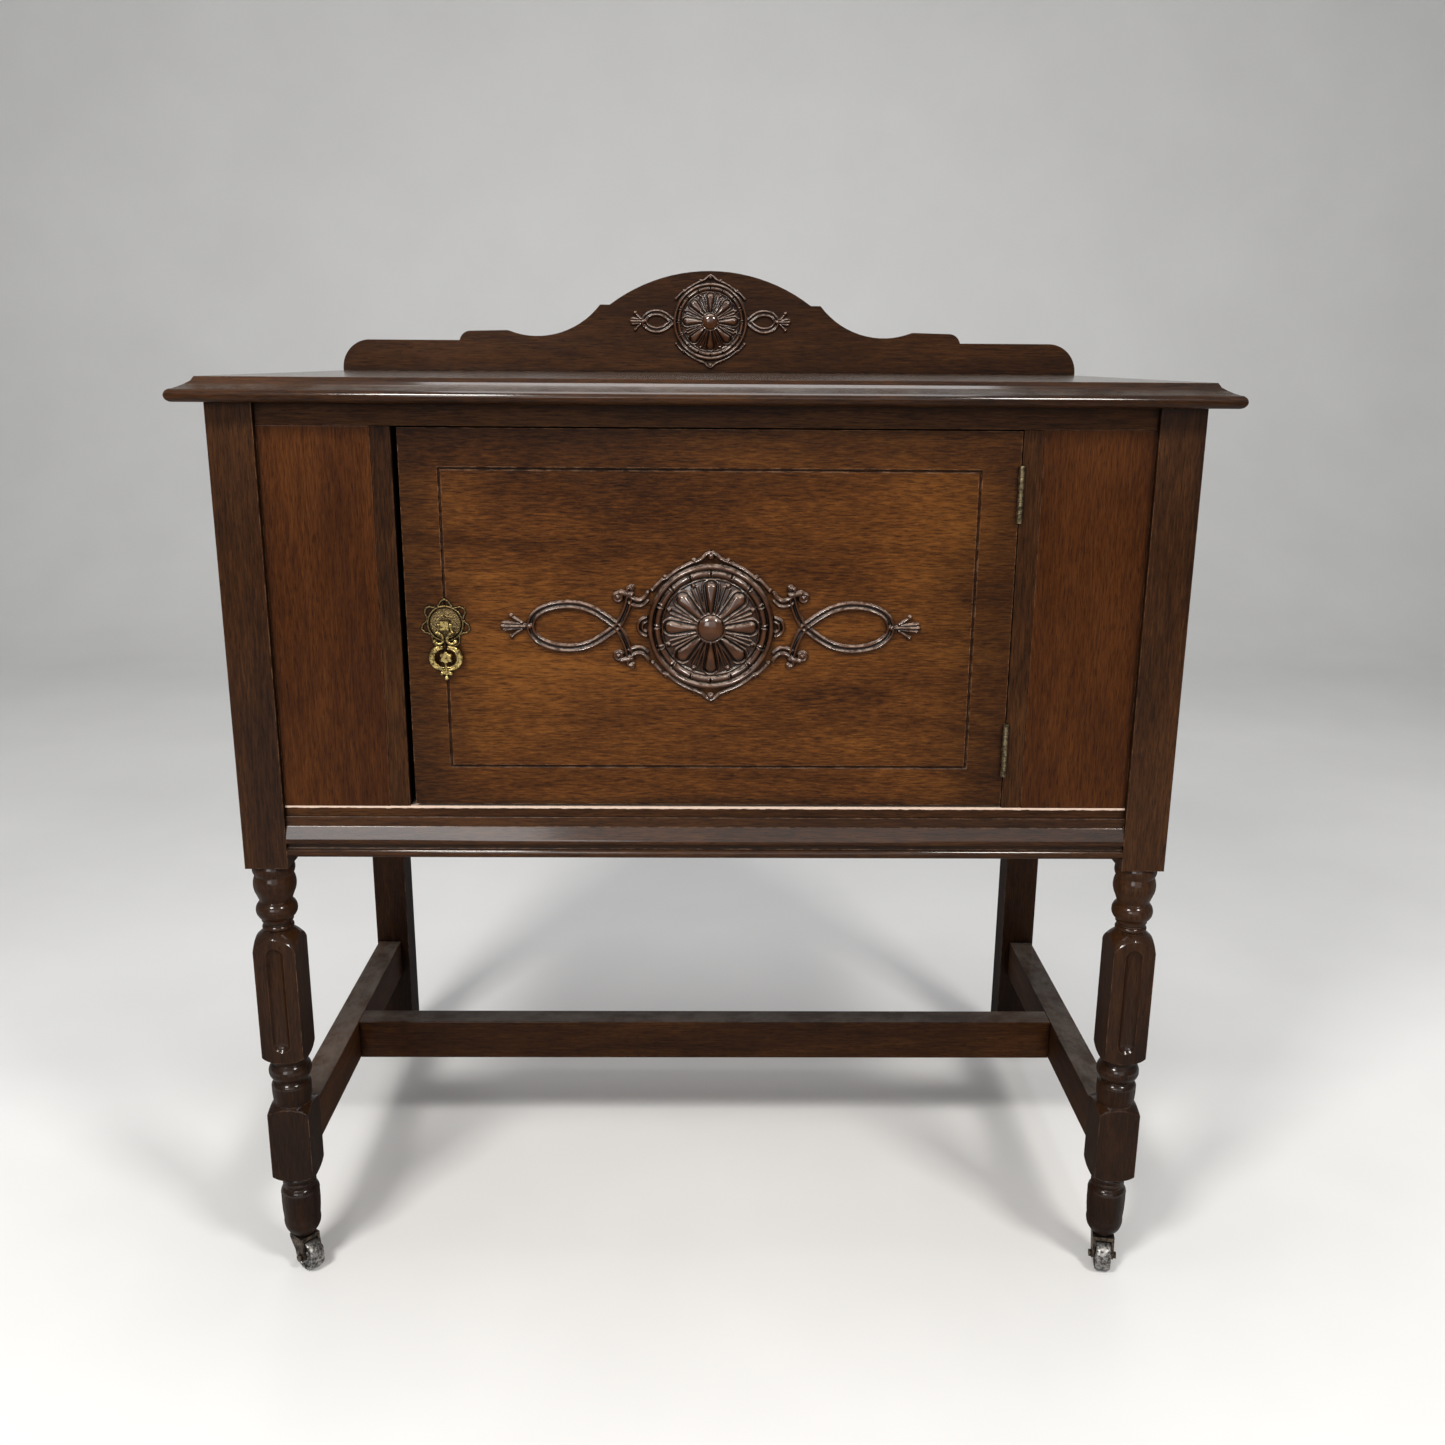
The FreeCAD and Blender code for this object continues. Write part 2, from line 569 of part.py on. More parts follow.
def stretchers():
    """The two side stretchers and the one that joins their middles."""
    side_length = f"({BACK} - {FRONT} - 2 * post_size)"
    stretcher("side_stretcher_left", f"-{SIDE_STRETCHER_X}", MIDDLE_Y, side_length, 90, "inner_left")
    stretcher("side_stretcher_right", SIDE_STRETCHER_X, MIDDLE_Y, side_length, 90, "inner_right")
    stretcher("centre_stretcher", "0", MIDDLE_Y, "2 * (stretcher_outer - stretcher_thickness)", 0)


# Door and hinges

def hinge_heights():
    """The lower end of each hinge."""
    return "(hinge_top - hinge_length)", "(hinge_top - hinge_spacing - hinge_length)"


def door_panel():
    """The door: a scribed rectangle, mortises for the hinge leaves and a hole for the pull's bolt."""
    lower_rise = "2"
    body = make_body("door_panel", y=FACE)
    face = rectangle(drawing_on(body, "XZ_Plane"), DOOR_LEFT, DOOR_BOTTOM, DOOR_RIGHT, DOOR_TOP)
    extrude(body, "Pad", face, "door_thickness", reverse=True)
    scribe = drawing_on(body, "XZ_Plane")
    for margin in ("door_margin", "(door_margin + scribe_width)"):
        rectangle(scribe, f"{DOOR_LEFT} + {margin}", f"{DOOR_BOTTOM} + {margin} + {lower_rise}",
                  f"{DOOR_RIGHT} - {margin}", f"{DOOR_TOP} - {margin}")
    extrude(body, "Pocket", scribe, "scribe_depth")
    for low in hinge_heights():
        carve_box(body, (f"{DOOR_RIGHT} - leaf_thickness", "0", low),
                  ("leaf_thickness", "leaf_width", "hinge_length"))
    hole = body.newObject("PartDesign::SubtractiveCylinder", "BoltHole")
    place(bind(hole, Radius="bolt_radius", Height="door_thickness"), "-pull_across", "0", "pull_height",
          about(X_AXIS, -90))
    return keep(body)


def hinge_leaf(label, low, side, knuckles, bore):
    """One leaf of a butt hinge. side is its lowest x, and knuckles says which of the five it carries."""
    knuckle = "((hinge_length - 4 * knuckle_gap) / 5)"
    plate_y = f"{HINGE_Y} + knuckle_radius + 0.1"
    plate = block(label + "_plate", (side, plate_y, low), ("leaf_thickness", "leaf_width", "hinge_length"))
    solid = [plate]
    for number in knuckles:
        height = f"{low} + {number} * ({knuckle} + knuckle_gap)"
        solid.append(rod(f"{label}_knuckle_{number}", (HINGE_X, HINGE_Y, height), "knuckle_radius", knuckle))
        solid.append(block(f"{label}_web_{number}", (side, HINGE_Y, height),
                           ("leaf_thickness", "knuckle_radius + 0.2", knuckle)))
    hole = rod(label + "_bore", (HINGE_X, HINGE_Y, low), bore, "hinge_length")
    return cut(label, fuse(label + "_solid", solid), hole)


def hinges():
    """Two brass butt hinges, with three knuckles on the jamb's leaf and two on the door's."""
    sunk = "0.05"
    screw_places = ((0.17, 0.7), (0.5, 0.5), (0.83, 0.7))
    leaves = (("hinge_leaves_jamb", "opening_half", (0, 2, 4), "pin_radius", f"(opening_half + {sunk})", 90),
              ("hinge_leaves_door", f"{DOOR_RIGHT} - leaf_thickness", (1, 3),
               "pin_radius + running_clearance", f"({DOOR_RIGHT} - {sunk})", -90))
    for label, side, knuckles, bore, face_x, angle in leaves:
        keep(group(label, [hinge_leaf(f"{label}_{number}", low, side, knuckles, bore)
                           for number, low in enumerate(hinge_heights())]))
        screws = [wood_screw(f"{label}_screw_{number}_{row}", face_x, f"{FACE} + leaf_width * {depth}",
                             f"{low} + hinge_length * {share}", Y_AXIS, -angle)
                  for number, low in enumerate(hinge_heights())
                  for row, (share, depth) in enumerate(screw_places)]
        keep(group(label.replace("leaves", "screws"), screws))
    pins = [rod(f"hinge_pin_{number}", (HINGE_X, HINGE_Y, low), "pin_radius", "hinge_length")
            for number, low in enumerate(hinge_heights())]
    keep(group("hinge_pins", pins))


def door_catch():
    """A spring clip under the shelf that pinches a stud on the door's back."""
    outer, inner = "6", "4.8"
    mouth, bend, foot = "4", "30", "44"
    clip_width, stud_reach, stud_radius, knob_radius = "12", "12", "2", "4.4"
    plate_width, plate_thickness, plate_height = "16", "1.5", "24"
    stud_z = f"(shelf_top - board_thickness - {outer})"
    across = f"({DOOR_LEFT} + 18)"
    clip = make_body("catch_clip", across, f"{FRONT} + post_size", stud_z)
    outside_bend = f"{bend} + {outer} - {inner}"
    profile = [(foot, outer), (mouth, outer), (mouth, inner), (bend, inner), (bend, f"-{inner}"),
               (mouth, f"-{inner}"), (mouth, f"-{outer}"), (outside_bend, f"-{outer}"), (outside_bend, inner),
               (foot, inner)]
    extrude(clip, "Pad", outline(drawing_on(clip, "YZ_Plane"), profile), clip_width, centred=True)
    keep(clip)
    plate = block("catch_strike_plate",
                  (f"{across} - {plate_width} / 2", DOOR_BACK, f"{stud_z} - {plate_height} / 2"),
                  (plate_width, plate_thickness, plate_height))
    reach = f"({FRONT} + post_size + {stud_reach} - {DOOR_BACK})"
    stem = rod("catch_strike_stem", (across, DOOR_BACK, stud_z), stud_radius, reach, about(X_AXIS, -90))
    knob = bind(doc.addObject("Part::Sphere", "catch_strike_knob"), Radius=knob_radius)
    place(knob, across, f"{DOOR_BACK} + {reach}", stud_z)
    keep(fuse("catch_strike", [plate, stem, knob]))


# Door pull

def pull_plate():
    """The round brass plate with seven small loops around its rim."""
    plate = make_body("pull_plate_disc")
    rim, rim_width, rim_round, thick = "pull_plate_radius", "2.2", "1.15", "1.4"
    loop_count, loop_radius, wire, loop_reach = 7, "3.6", "0.9", "2.8"
    profile = [("bolt_radius", "0"), (rim, "0"), (rim, f"-{thick}"), (f"{rim} - {rim_width}", f"-{thick}"),
               ("bolt_radius", f"-{thick}")]
    turn_about(plate, "Revolution", outline(drawing_on(plate, "XY_Plane"), profile, {2: (rim_round, LEFT)}))
    loops = []
    for number in range(loop_count):
        angle = math.radians(90 + number * 360 / loop_count)
        loop = bind(doc.addObject("Part::Torus", f"pull_plate_loop_{number}"), Radius1=loop_radius, Radius2=wire)
        reach = f"({rim} + {loop_reach})"
        loops.append(place(loop, f"{reach} * {math.cos(angle):.6f}", f"-{wire}",
                           f"{reach} * {math.sin(angle):.6f}", about(X_AXIS, 90)))
    keep(place(fuse("pull_plate", [plate] + loops), "-pull_across", FACE, "pull_height"))


def pull_post():
    """The block that carries the drop's pivot pin, and its bolt through the door with a nut behind."""
    width, depth, height, stand_off = "7.5", "6.6", "8", "8"
    pin_reach, nut_radius, nut_thickness = "7", "4.6", "3"
    head = block("pull_post_block",
                 (f"-pull_across - {width} / 2", f"{FACE} - {stand_off}", f"pull_height - {height} / 2"),
                 (width, depth, height))
    pin = rod("pull_post_pin", (f"-pull_across - {pin_reach}", f"{FACE} - pull_pin_reach", "pull_height"),
              "pull_pin_radius", f"2 * {pin_reach}", about(Y_AXIS, 90))
    bolt = rod("pull_post_bolt", ("-pull_across", f"{FACE} - 1.5", "pull_height"), "bolt_radius",
               "door_thickness + 6", about(X_AXIS, -90))
    keep(fuse("pull_post", [head, pin, bolt]))
    nut_place = ("-pull_across", DOOR_BACK, "pull_height")
    hexagon = doc.addObject("Part::Prism", "pull_nut_hexagon")
    place(bind(hexagon, Circumradius=nut_radius, Height=nut_thickness), *nut_place, about(X_AXIS, -90))
    bore = rod("pull_nut_bore", nut_place, "bolt_radius", nut_thickness, about(X_AXIS, -90))
    keep(cut("pull_nut", hexagon, bore))


def curl(label, radius, wire, x, z, start, sweep):
    """A bent wire in the plane of the door: its arc starts at an angle from +X and turns towards +Z."""
    bend = bind(doc.addObject("Part::Torus", label), Radius1=radius, Radius2=wire)
    bend.Angle3 = sweep
    return place(bend, x, "0", z, about(X_AXIS, 90).multiply(about(Z_AXIS, start)))


def pull_drop():
    """The drop: two eyes on the pin, two hooks back to back, two crescents round a star, and a stem."""
    solids = []
    for side, hook_start, crescent_start in ((-1, -110, 110), (1, 85, -95)):
        ball = bind(doc.addObject("Part::Sphere", f"drop_side_ball_{side}"), Radius="1.5")
        solids += [rod(f"drop_eye_{side}", (f"{side} * 5.3 - 1.3", "0", "0"), "pull_pin_radius + 1.1", "2.6",
                       about(Y_AXIS, 90)),
                   rod(f"drop_strut_{side}", (f"{side} * 5.3", "0", "-8.2"), "0.9", "6.7"),
                   curl(f"drop_hook_{side}", "5.1", "1.1", f"{side} * 6.6", "-12", hook_start, 205),
                   curl(f"drop_crescent_{side}", "10.2", "1.9", f"{side} * 1.4", "-30", crescent_start, 165),
                   place(ball, f"{side} * 2.4", "0", "-44.5", about(Y_AXIS, 90))]
    star = bind(doc.addObject("Part::Prism", "drop_star"), Circumradius="5.5", Height="2.4")
    end_ball = bind(doc.addObject("Part::Sphere", "drop_end_ball"), Radius="2.2")
    solids += [place(star, "0", "1.2", "-30.5", about(X_AXIS, 90)),
               rod("drop_stem", ("0", "0", "-49"), "1.3", "43"),
               place(end_ball, "0", "0", "-49")]
    bore = rod("drop_bore", ("-8", "0", "0"), "pull_pin_radius + running_clearance", "16", about(Y_AXIS, 90))
    drop = cut("pull_drop", fuse("drop_solid", solids), bore)
    keep(place(drop, "-pull_across", f"{FACE} - pull_pin_reach", "pull_height"))


# Carved ornaments

def dome(label, reach, angle, along, across, height):
    """Half an ellipsoid on the face, at a distance and an angle from the ornament's middle, in degrees."""
    shape = bind(doc.addObject("Part::Ellipsoid", label), Radius1=height, Radius2=along, Radius3=across)
    shape.Angle1 = 0
    turn = about(Y_AXIS, -angle).multiply(about(X_AXIS, 90))
    slope = math.radians(angle)
    return place(shape, f"({reach}) * {math.cos(slope):.6f}", "0", f"({reach}) * {math.sin(slope):.6f}", turn)


def side_loop(label, x, half, rise, width, height):
    """An open almond between an outer and an inner pair of arcs."""
    bend = f"(({half} ^ 2 + {rise} ^ 2) / (2 * {rise}))"
    inner_bend = f"({bend} - {width})"
    inner_half = f"sqrt({inner_bend} ^ 2 - ({bend} - {rise}) ^ 2)"
    loop = make_body(label, x)
    drawing = drawing_on(loop, "XZ_Plane")
    for reach, radius in ((half, bend), (inner_half, inner_bend)):
        outline(drawing, [(f"-({reach})", "0"), (reach, "0")], {0: (radius, RIGHT), 1: (radius, RIGHT)})
    extrude(loop, "Pad", drawing, height)
    return loop


def medallion(label, radius):
    """A round boss that rises from its rim to a domed hub, with eight petals between them."""
    dish = make_body(f"{label}_dish")
    profile = [("0", "0"), (radius, "0"), (radius, f"-0.03 * {radius}"),
               (f"0.86 * {radius}", f"-0.04 * {radius}"), (f"0.22 * {radius}", f"-0.17 * {radius}"),
               ("0", f"-0.27 * {radius}")]
    arcs = {2: (f"0.075 * {radius}", LEFT), 4: (f"0.3 * {radius}", LEFT)}
    turn_about(dish, "Revolution", outline(drawing_on(dish, "XY_Plane"), profile, arcs))
    petals = [dome(f"{label}_petal_{number}", f"0.53 * {radius}", 45 * number, f"0.31 * {radius}",
                   f"0.13 * {radius}", f"0.18 * {radius}") for number in range(8)]
    return [dish] + petals


def side_arms(label, radius, loop_start, loop_end, rise, tip):
    """On each side of the medallion a neck, an open loop and a bud. Their places are in medallion radii."""
    solids = []
    thick = f"0.08 * {radius}"
    half = f"({(loop_end - loop_start) / 2:.3f} * {radius})"
    for side, sign, angle in (("right", 1, 0), ("left", -1, 180)):
        middle = f"{sign * (loop_start + loop_end) / 2:.3f} * {radius}"
        solids.append(side_loop(f"{label}_loop_{side}", middle, half, f"({rise} * {radius})",
                                f"0.085 * {radius}", thick))
        neck_low = min(sign * 0.95, sign * (loop_start + 0.1))
        solids.append(block(f"{label}_neck_{side}",
                            (f"{neck_low:.3f} * {radius}", f"-{thick}", f"-0.05 * {radius}"),
                            (f"{loop_start - 0.85:.3f} * {radius}", thick, f"0.1 * {radius}")))
        bud_half = (tip - loop_end) / 2 + 0.03
        solids.append(dome(f"{label}_bud_{side}", f"{tip - bud_half:.3f} * {radius}", angle,
                           f"{bud_half:.3f} * {radius}", f"0.12 * {radius}", f"0.09 * {radius}"))
    return solids


def ornament(label, radius, place_at, arms, scrolls):
    """A carved medallion with side arms, a finial above and below, and scrolls where there is room."""
    solids = medallion(label, radius) + side_arms(label, radius, *arms)
    knobs = [(f"scroll_{angle}", "1.15", angle, "0.26", "0.11") for angle in scrolls]
    knobs += [(f"finial_{angle}", "1.03", angle, "0.14", "0.14") for angle in (90, 270)]
    for name, reach, angle, along, across in knobs:
        solids.append(dome(f"{label}_{name}", f"{reach} * {radius}", angle, f"{along} * {radius}",
                           f"{across} * {radius}", f"0.09 * {radius}"))
    keep(place(fuse(label, solids), *place_at))


def ornaments():
    """The carved ornaments of the door and of the gallery board."""
    door_x = f"(({DOOR_LEFT} + {DOOR_RIGHT}) / 2 + 1)"
    ornament("door_ornament", "door_ornament_radius", (door_x, FACE, "pull_height - 1.2"),
             (1.44, 2.81, 0.39, 3.3), (21, 159, 201, 339))
    gallery_face = "top_depth / 2 - gallery_setback - gallery_thickness"
    ornament("gallery_ornament", "gallery_ornament_radius", ("gallery_shift", gallery_face, "top_height + 59.5"),
             (1.0, 1.78, 0.27, 2.19), ())


# Casters

def caster(name, x, y, angle):
    """A socket in the leg, a swivelling fork that trails at an angle, and a wheel on its axle."""
    turn = about(Z_AXIS, angle)
    crown, crown_top, neck_radius, eye_radius = "33", "37.5", "7", "5.6"
    slot = "(wheel_width + 2 * fork_play)"
    width = f"({slot} + 2 * fork_thickness)"
    fork = make_body(f"caster_fork_{name}", x, y, "0", turn)
    cheek = [("-9.5", crown_top), ("-9.5", crown), ("caster_trail - 5.5", "wheel_radius"),
             ("caster_trail + 5.5", "wheel_radius"), ("11.5", crown), ("11.5", crown_top)]
    drawing = outline(drawing_on(fork, "XZ_Plane"), cheek, {2: (eye_radius, RIGHT)})
    extrude(fork, "Pad", drawing, width, centred=True)
    gap = rectangle(drawing_on(fork, "XZ_Plane"), "-20", "0", "caster_trail + 20", "2 * wheel_radius + 1.5")
    extrude(fork, "Pocket", gap, slot, centred=True)
    for radius, length in ((neck_radius, f"leg_bottom - socket_flange - {crown_top} - 0.2"),
                           ("stem_radius", "stem_length")):
        stem = fork.newObject("PartDesign::AdditiveCylinder", "Stem")
        place(bind(stem, Radius=radius, Height=length), z=crown_top)
    hole = fork.newObject("PartDesign::SubtractiveCylinder", "AxleHole")
    place(bind(hole, Radius="axle_radius", Height=f"{width} + 2"), "caster_trail", f"{width} / 2 + 1",
          "wheel_radius", about(X_AXIS, 90))
    keep(fork)

    reach = math.radians(angle)
    centre = (f"{x} + caster_trail * {math.cos(reach):.6f}", f"{y} + caster_trail * {math.sin(reach):.6f}",
              "wheel_radius")
    wheel = make_body(f"caster_wheel_{name}", *centre, turn)
    half = "wheel_width / 2"
    inner = "axle_radius + running_clearance"
    hub, web, rim, dish, tread_corner = "6", ("7.5", "12"), ("13", "15.2"), "2", "1.5"
    profile = [(inner, f"-{half}"), (hub, f"-{half}"), (web[0], f"{dish} - {half}"),
               (web[1], f"{dish} - {half}"), (rim[0], f"-{half}"), (rim[1], f"-{half}"),
               ("wheel_radius", f"{tread_corner} - {half}")]
    other = [(radius, f"-({along})") for radius, along in profile[::-1]]
    turn_about(wheel, "Revolution", outline(drawing_on(wheel, "XY_Plane"), profile + other))
    keep(wheel)

    rivet = "3"
    bar_low = f"-{width} / 2 - {rivet}"
    solids = [rod(f"caster_axle_{name}_bar", ("0", bar_low, "0"), "axle_radius", f"{width} + 2 * {rivet}",
                  about(X_AXIS, -90))]
    for end, low in (("a", bar_low), ("b", f"{width} / 2")):
        solids.append(rod(f"caster_axle_{name}_{end}", ("0", low, "0"), "axle_radius + 1.3", rivet,
                          about(X_AXIS, -90)))
    keep(place(fuse(f"caster_axle_{name}", solids), *centre, turn))

    base = "(leg_bottom - socket_flange)"
    flange = rod(f"caster_socket_{name}_flange", (x, y, base), "11", "socket_flange")
    tube = rod(f"caster_socket_{name}_tube", (x, y, base), "socket_radius",
               "stem_length + 5 + socket_flange")
    bore = rod(f"caster_socket_{name}_bore", (x, y, base), "stem_radius + running_clearance",
               "stem_length + 3")
    return cut(f"caster_socket_{name}", fuse(f"caster_socket_{name}_solid", [flange, tube]), bore)


def casters():
    """The four casters, which have come to rest turned different ways."""
    across = f"({CARCASE_HALF} - post_size / 2)"
    front, rear = f"({FRONT} + post_size / 2)", f"({BACK} - post_size / 2)"
    places = (("front_left", f"-{across}", front, -40), ("front_right", across, front, -100),
              ("rear_left", f"-{across}", rear, -60), ("rear_right", across, rear, -50))
    keep(group("caster_sockets", [caster(*where) for where in places]))


def build():
    """Every sub-part of the cabinet."""
    top_board()
    gallery_board()
    posts()
    rails()
    base_moulding()
    panels()
    jamb_right()
    bottom_board()
    shelf()
    cleats()
    glue_blocks()
    top_screws()
    door_stop()
    stretchers()
    door_panel()
    hinges()
    door_catch()
    pull_plate()
    pull_post()
    pull_drop()
    ornaments()
    casters()


def check():
    """Stop if any object failed to compute or any sub-part isn't sound."""
    for thing in doc.Objects:
        if {"Invalid", "Error"} & set(thing.State):
            raise RuntimeError(f"{thing.Name} failed: {thing.State}")
    for thing in nodes:
        if thing.Shape.isNull() or not thing.Shape.isValid() or not thing.Shape.Solids:
            raise RuntimeError(f"{thing.Label} has no sound shape")


def write():
    """Write each sub-part to its own file."""
    os.makedirs("parts", exist_ok=True)
    for thing in nodes:
        thing.Shape.exportStep(f"parts/{thing.Label}.step")
        print(f"{thing.Label}: {len(thing.Shape.Solids)} solid(s), {thing.Shape.Volume / 1000:.1f} cm3")


build()
doc.recompute()
check()
write()
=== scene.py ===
"""The looks of a small sideboard cabinet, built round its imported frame.

Metres, in the row frame: +Z is up, the door faces -Y and the floor is at z = 0.
The two carved ornaments, the pull's plate and its drop are modelled here, in place of their plain CAD nodes.
Every other CAD node is shown as packed, with softened edges and a procedural material.
"""

import json
import math

import bpy
import numpy as np
from mathutils import Matrix, Vector


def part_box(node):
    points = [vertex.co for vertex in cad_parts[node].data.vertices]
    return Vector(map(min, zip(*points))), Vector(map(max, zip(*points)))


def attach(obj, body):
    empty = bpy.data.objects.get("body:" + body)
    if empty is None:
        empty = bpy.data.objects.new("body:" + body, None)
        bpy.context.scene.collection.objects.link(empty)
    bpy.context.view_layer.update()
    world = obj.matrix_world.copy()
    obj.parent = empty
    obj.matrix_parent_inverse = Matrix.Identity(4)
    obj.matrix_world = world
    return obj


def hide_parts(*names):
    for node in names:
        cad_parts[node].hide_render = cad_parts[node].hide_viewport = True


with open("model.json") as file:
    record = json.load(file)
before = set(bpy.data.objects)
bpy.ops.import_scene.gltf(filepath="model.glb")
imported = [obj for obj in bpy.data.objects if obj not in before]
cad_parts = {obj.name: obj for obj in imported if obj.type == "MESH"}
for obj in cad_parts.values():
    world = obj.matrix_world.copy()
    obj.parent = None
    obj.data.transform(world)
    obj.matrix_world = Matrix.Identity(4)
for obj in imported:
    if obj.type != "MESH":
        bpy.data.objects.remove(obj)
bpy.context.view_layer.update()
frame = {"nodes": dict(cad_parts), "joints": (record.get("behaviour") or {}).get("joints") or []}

MM = 0.001
X, Y, Z = 0, 1, 2


# Places taken from the frame

door_low, door_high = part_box("door_panel")
DOOR_FACE = door_low.y
GALLERY_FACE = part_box("gallery_board")[0].y
POST_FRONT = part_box("post_front_left")[0].y
RAIL_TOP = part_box("lower_rail")[1].z


def middle(node):
    """The middle of a CAD node's box."""
    low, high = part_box(node)
    return (low + high) / 2


# Materials

def node(tree, kind, inputs=None, **settings):
    """Adds a shader node. An input is a number, a colour or another node's output."""
    made = tree.nodes.new("ShaderNode" + kind)
    for key, value in settings.items():
        setattr(made, key, value)
    for key, value in (inputs or {}).items():
        if isinstance(value, bpy.types.NodeSocket):
            tree.links.new(value, made.inputs[key])
        else:
            made.inputs[key].default_value = value
    return made


def new_material(name, **shader):
    """A material with its principled shader's constant sockets set."""
    material = bpy.data.materials.new(name)
    material.use_nodes = True
    sockets = material.node_tree.nodes["Principled BSDF"].inputs
    for key, value in shader.items():
        sockets[key.replace("_", " ")].default_value = value
    return material, material.node_tree, sockets


def stretched(tree, axis, stretch):
    """Object coordinates drawn out along one axis, and shifted for each object so that no two match."""
    place = node(tree, "TexCoord").outputs["Object"]
    scale = [1.0, 1.0, 1.0]
    scale[axis] = 1 / stretch
    chance = node(tree, "ObjectInfo").outputs["Random"]
    shift = node(tree, "VectorMath", {0: chance, 3: 9.0}, operation="SCALE").outputs[0]
    return node(tree, "Mapping", {"Vector": place, "Location": shift, "Scale": scale}).outputs[0]


def noise(tree, vector, scale, detail=4.0, roughness=0.55, distortion=0.0):
    """A noise pattern's value, from 0 to 1."""
    inputs = {"Vector": vector, "Scale": scale, "Detail": detail, "Roughness": roughness,
              "Distortion": distortion}
    return node(tree, "TexNoise", inputs).outputs[0]


def ramp(tree, value, stops):
    """A colour ramp over a value. A stop is (position, colour or grey level)."""
    made = node(tree, "ValToRGB", {"Fac": value})
    elements = made.color_ramp.elements
    for number, (position, colour) in enumerate(stops):
        stop = elements[number] if number < 2 else elements.new(position)
        stop.position = position
        stop.color = (*(colour if isinstance(colour, tuple) else (colour,) * 3), 1.0)
    return made.outputs[0]


def between(tree, value, low, high, start=0.0, end=1.0):
    """A value carried smoothly from the range low to high over to the range start to end."""
    inputs = {"Value": value, "From Min": low, "From Max": high, "To Min": start, "To Max": end}
    return node(tree, "MapRange", inputs, interpolation_type="SMOOTHSTEP").outputs[0]


def calculate(tree, operation, first, second=0.5):
    """One sum on two values."""
    return node(tree, "Math", {0: first, 1: second}, operation=operation).outputs[0]


def blend(tree, mode, amount, first, second):
    """Two colours mixed in one of the mix node's modes."""
    made = node(tree, "Mix", data_type="RGBA", blend_type=mode)
    for key, value in ((0, amount), (6, first), (7, second)):
        if isinstance(value, bpy.types.NodeSocket):
            tree.links.new(value, made.inputs[key])
        else:
            made.inputs[key].default_value = value
    return made.outputs[2]


def bump(tree, height, distance, strength=1.0, normal=None):
    """A bumped normal. Distance is the depth of the relief in metres."""
    inputs = {"Height": height, "Distance": distance, "Strength": strength}
    if normal:
        inputs["Normal"] = normal
    return node(tree, "Bump", inputs).outputs[0]


def axis_values(tree):
    """The object's x, y and z as three values."""
    split = node(tree, "SeparateXYZ", {"Vector": node(tree, "TexCoord").outputs["Object"]})
    return split.outputs


def edge_wear(tree, radius, low, high):
    """1 along rounded-over edges and 0 elsewhere."""
    soft = node(tree, "Bevel", {"Radius": radius}, samples=4).outputs[0]
    true = node(tree, "NewGeometry").outputs["Normal"]
    turned = node(tree, "VectorMath", {0: soft, 1: true}, operation="DOT_PRODUCT").outputs["Value"]
    return between(tree, turned, high, low)


def hollow(tree, distance):
    """0 deep in a recess and 1 in the open."""
    return node(tree, "AmbientOcclusion", {"Distance": distance}, samples=6).outputs["AO"]


def facing(tree):
    """How far a surface faces along x, y and z, from -1 to 1 each."""
    return node(tree, "SeparateXYZ", {"Vector": node(tree, "NewGeometry").outputs["Normal"]}).outputs


def grain(tree, axis, draw):
    """Three patterns of a board's grain: its mixed shades, its fibres and its fine dark pores."""
    fibres = noise(tree, stretched(tree, axis, draw), 520.0, 7.0, 0.75)
    figure = noise(tree, stretched(tree, axis, 6.0), 24.0, 6.0, 0.62, 0.8)
    cloud = noise(tree, stretched(tree, axis, 1.8), 6.0, 3.0, 0.5)
    pores = ramp(tree, noise(tree, stretched(tree, axis, 16.0), 1400.0, 2.0, 0.5), ((0.36, 0.0), (0.46, 1.0)))
    mixed = calculate(tree, "ADD", calculate(tree, "MULTIPLY", figure, 0.3),
                      calculate(tree, "MULTIPLY", cloud, 0.25))
    mixed = calculate(tree, "ADD", calculate(tree, "MULTIPLY", fibres, 0.45), mixed)
    return mixed, fibres, pores


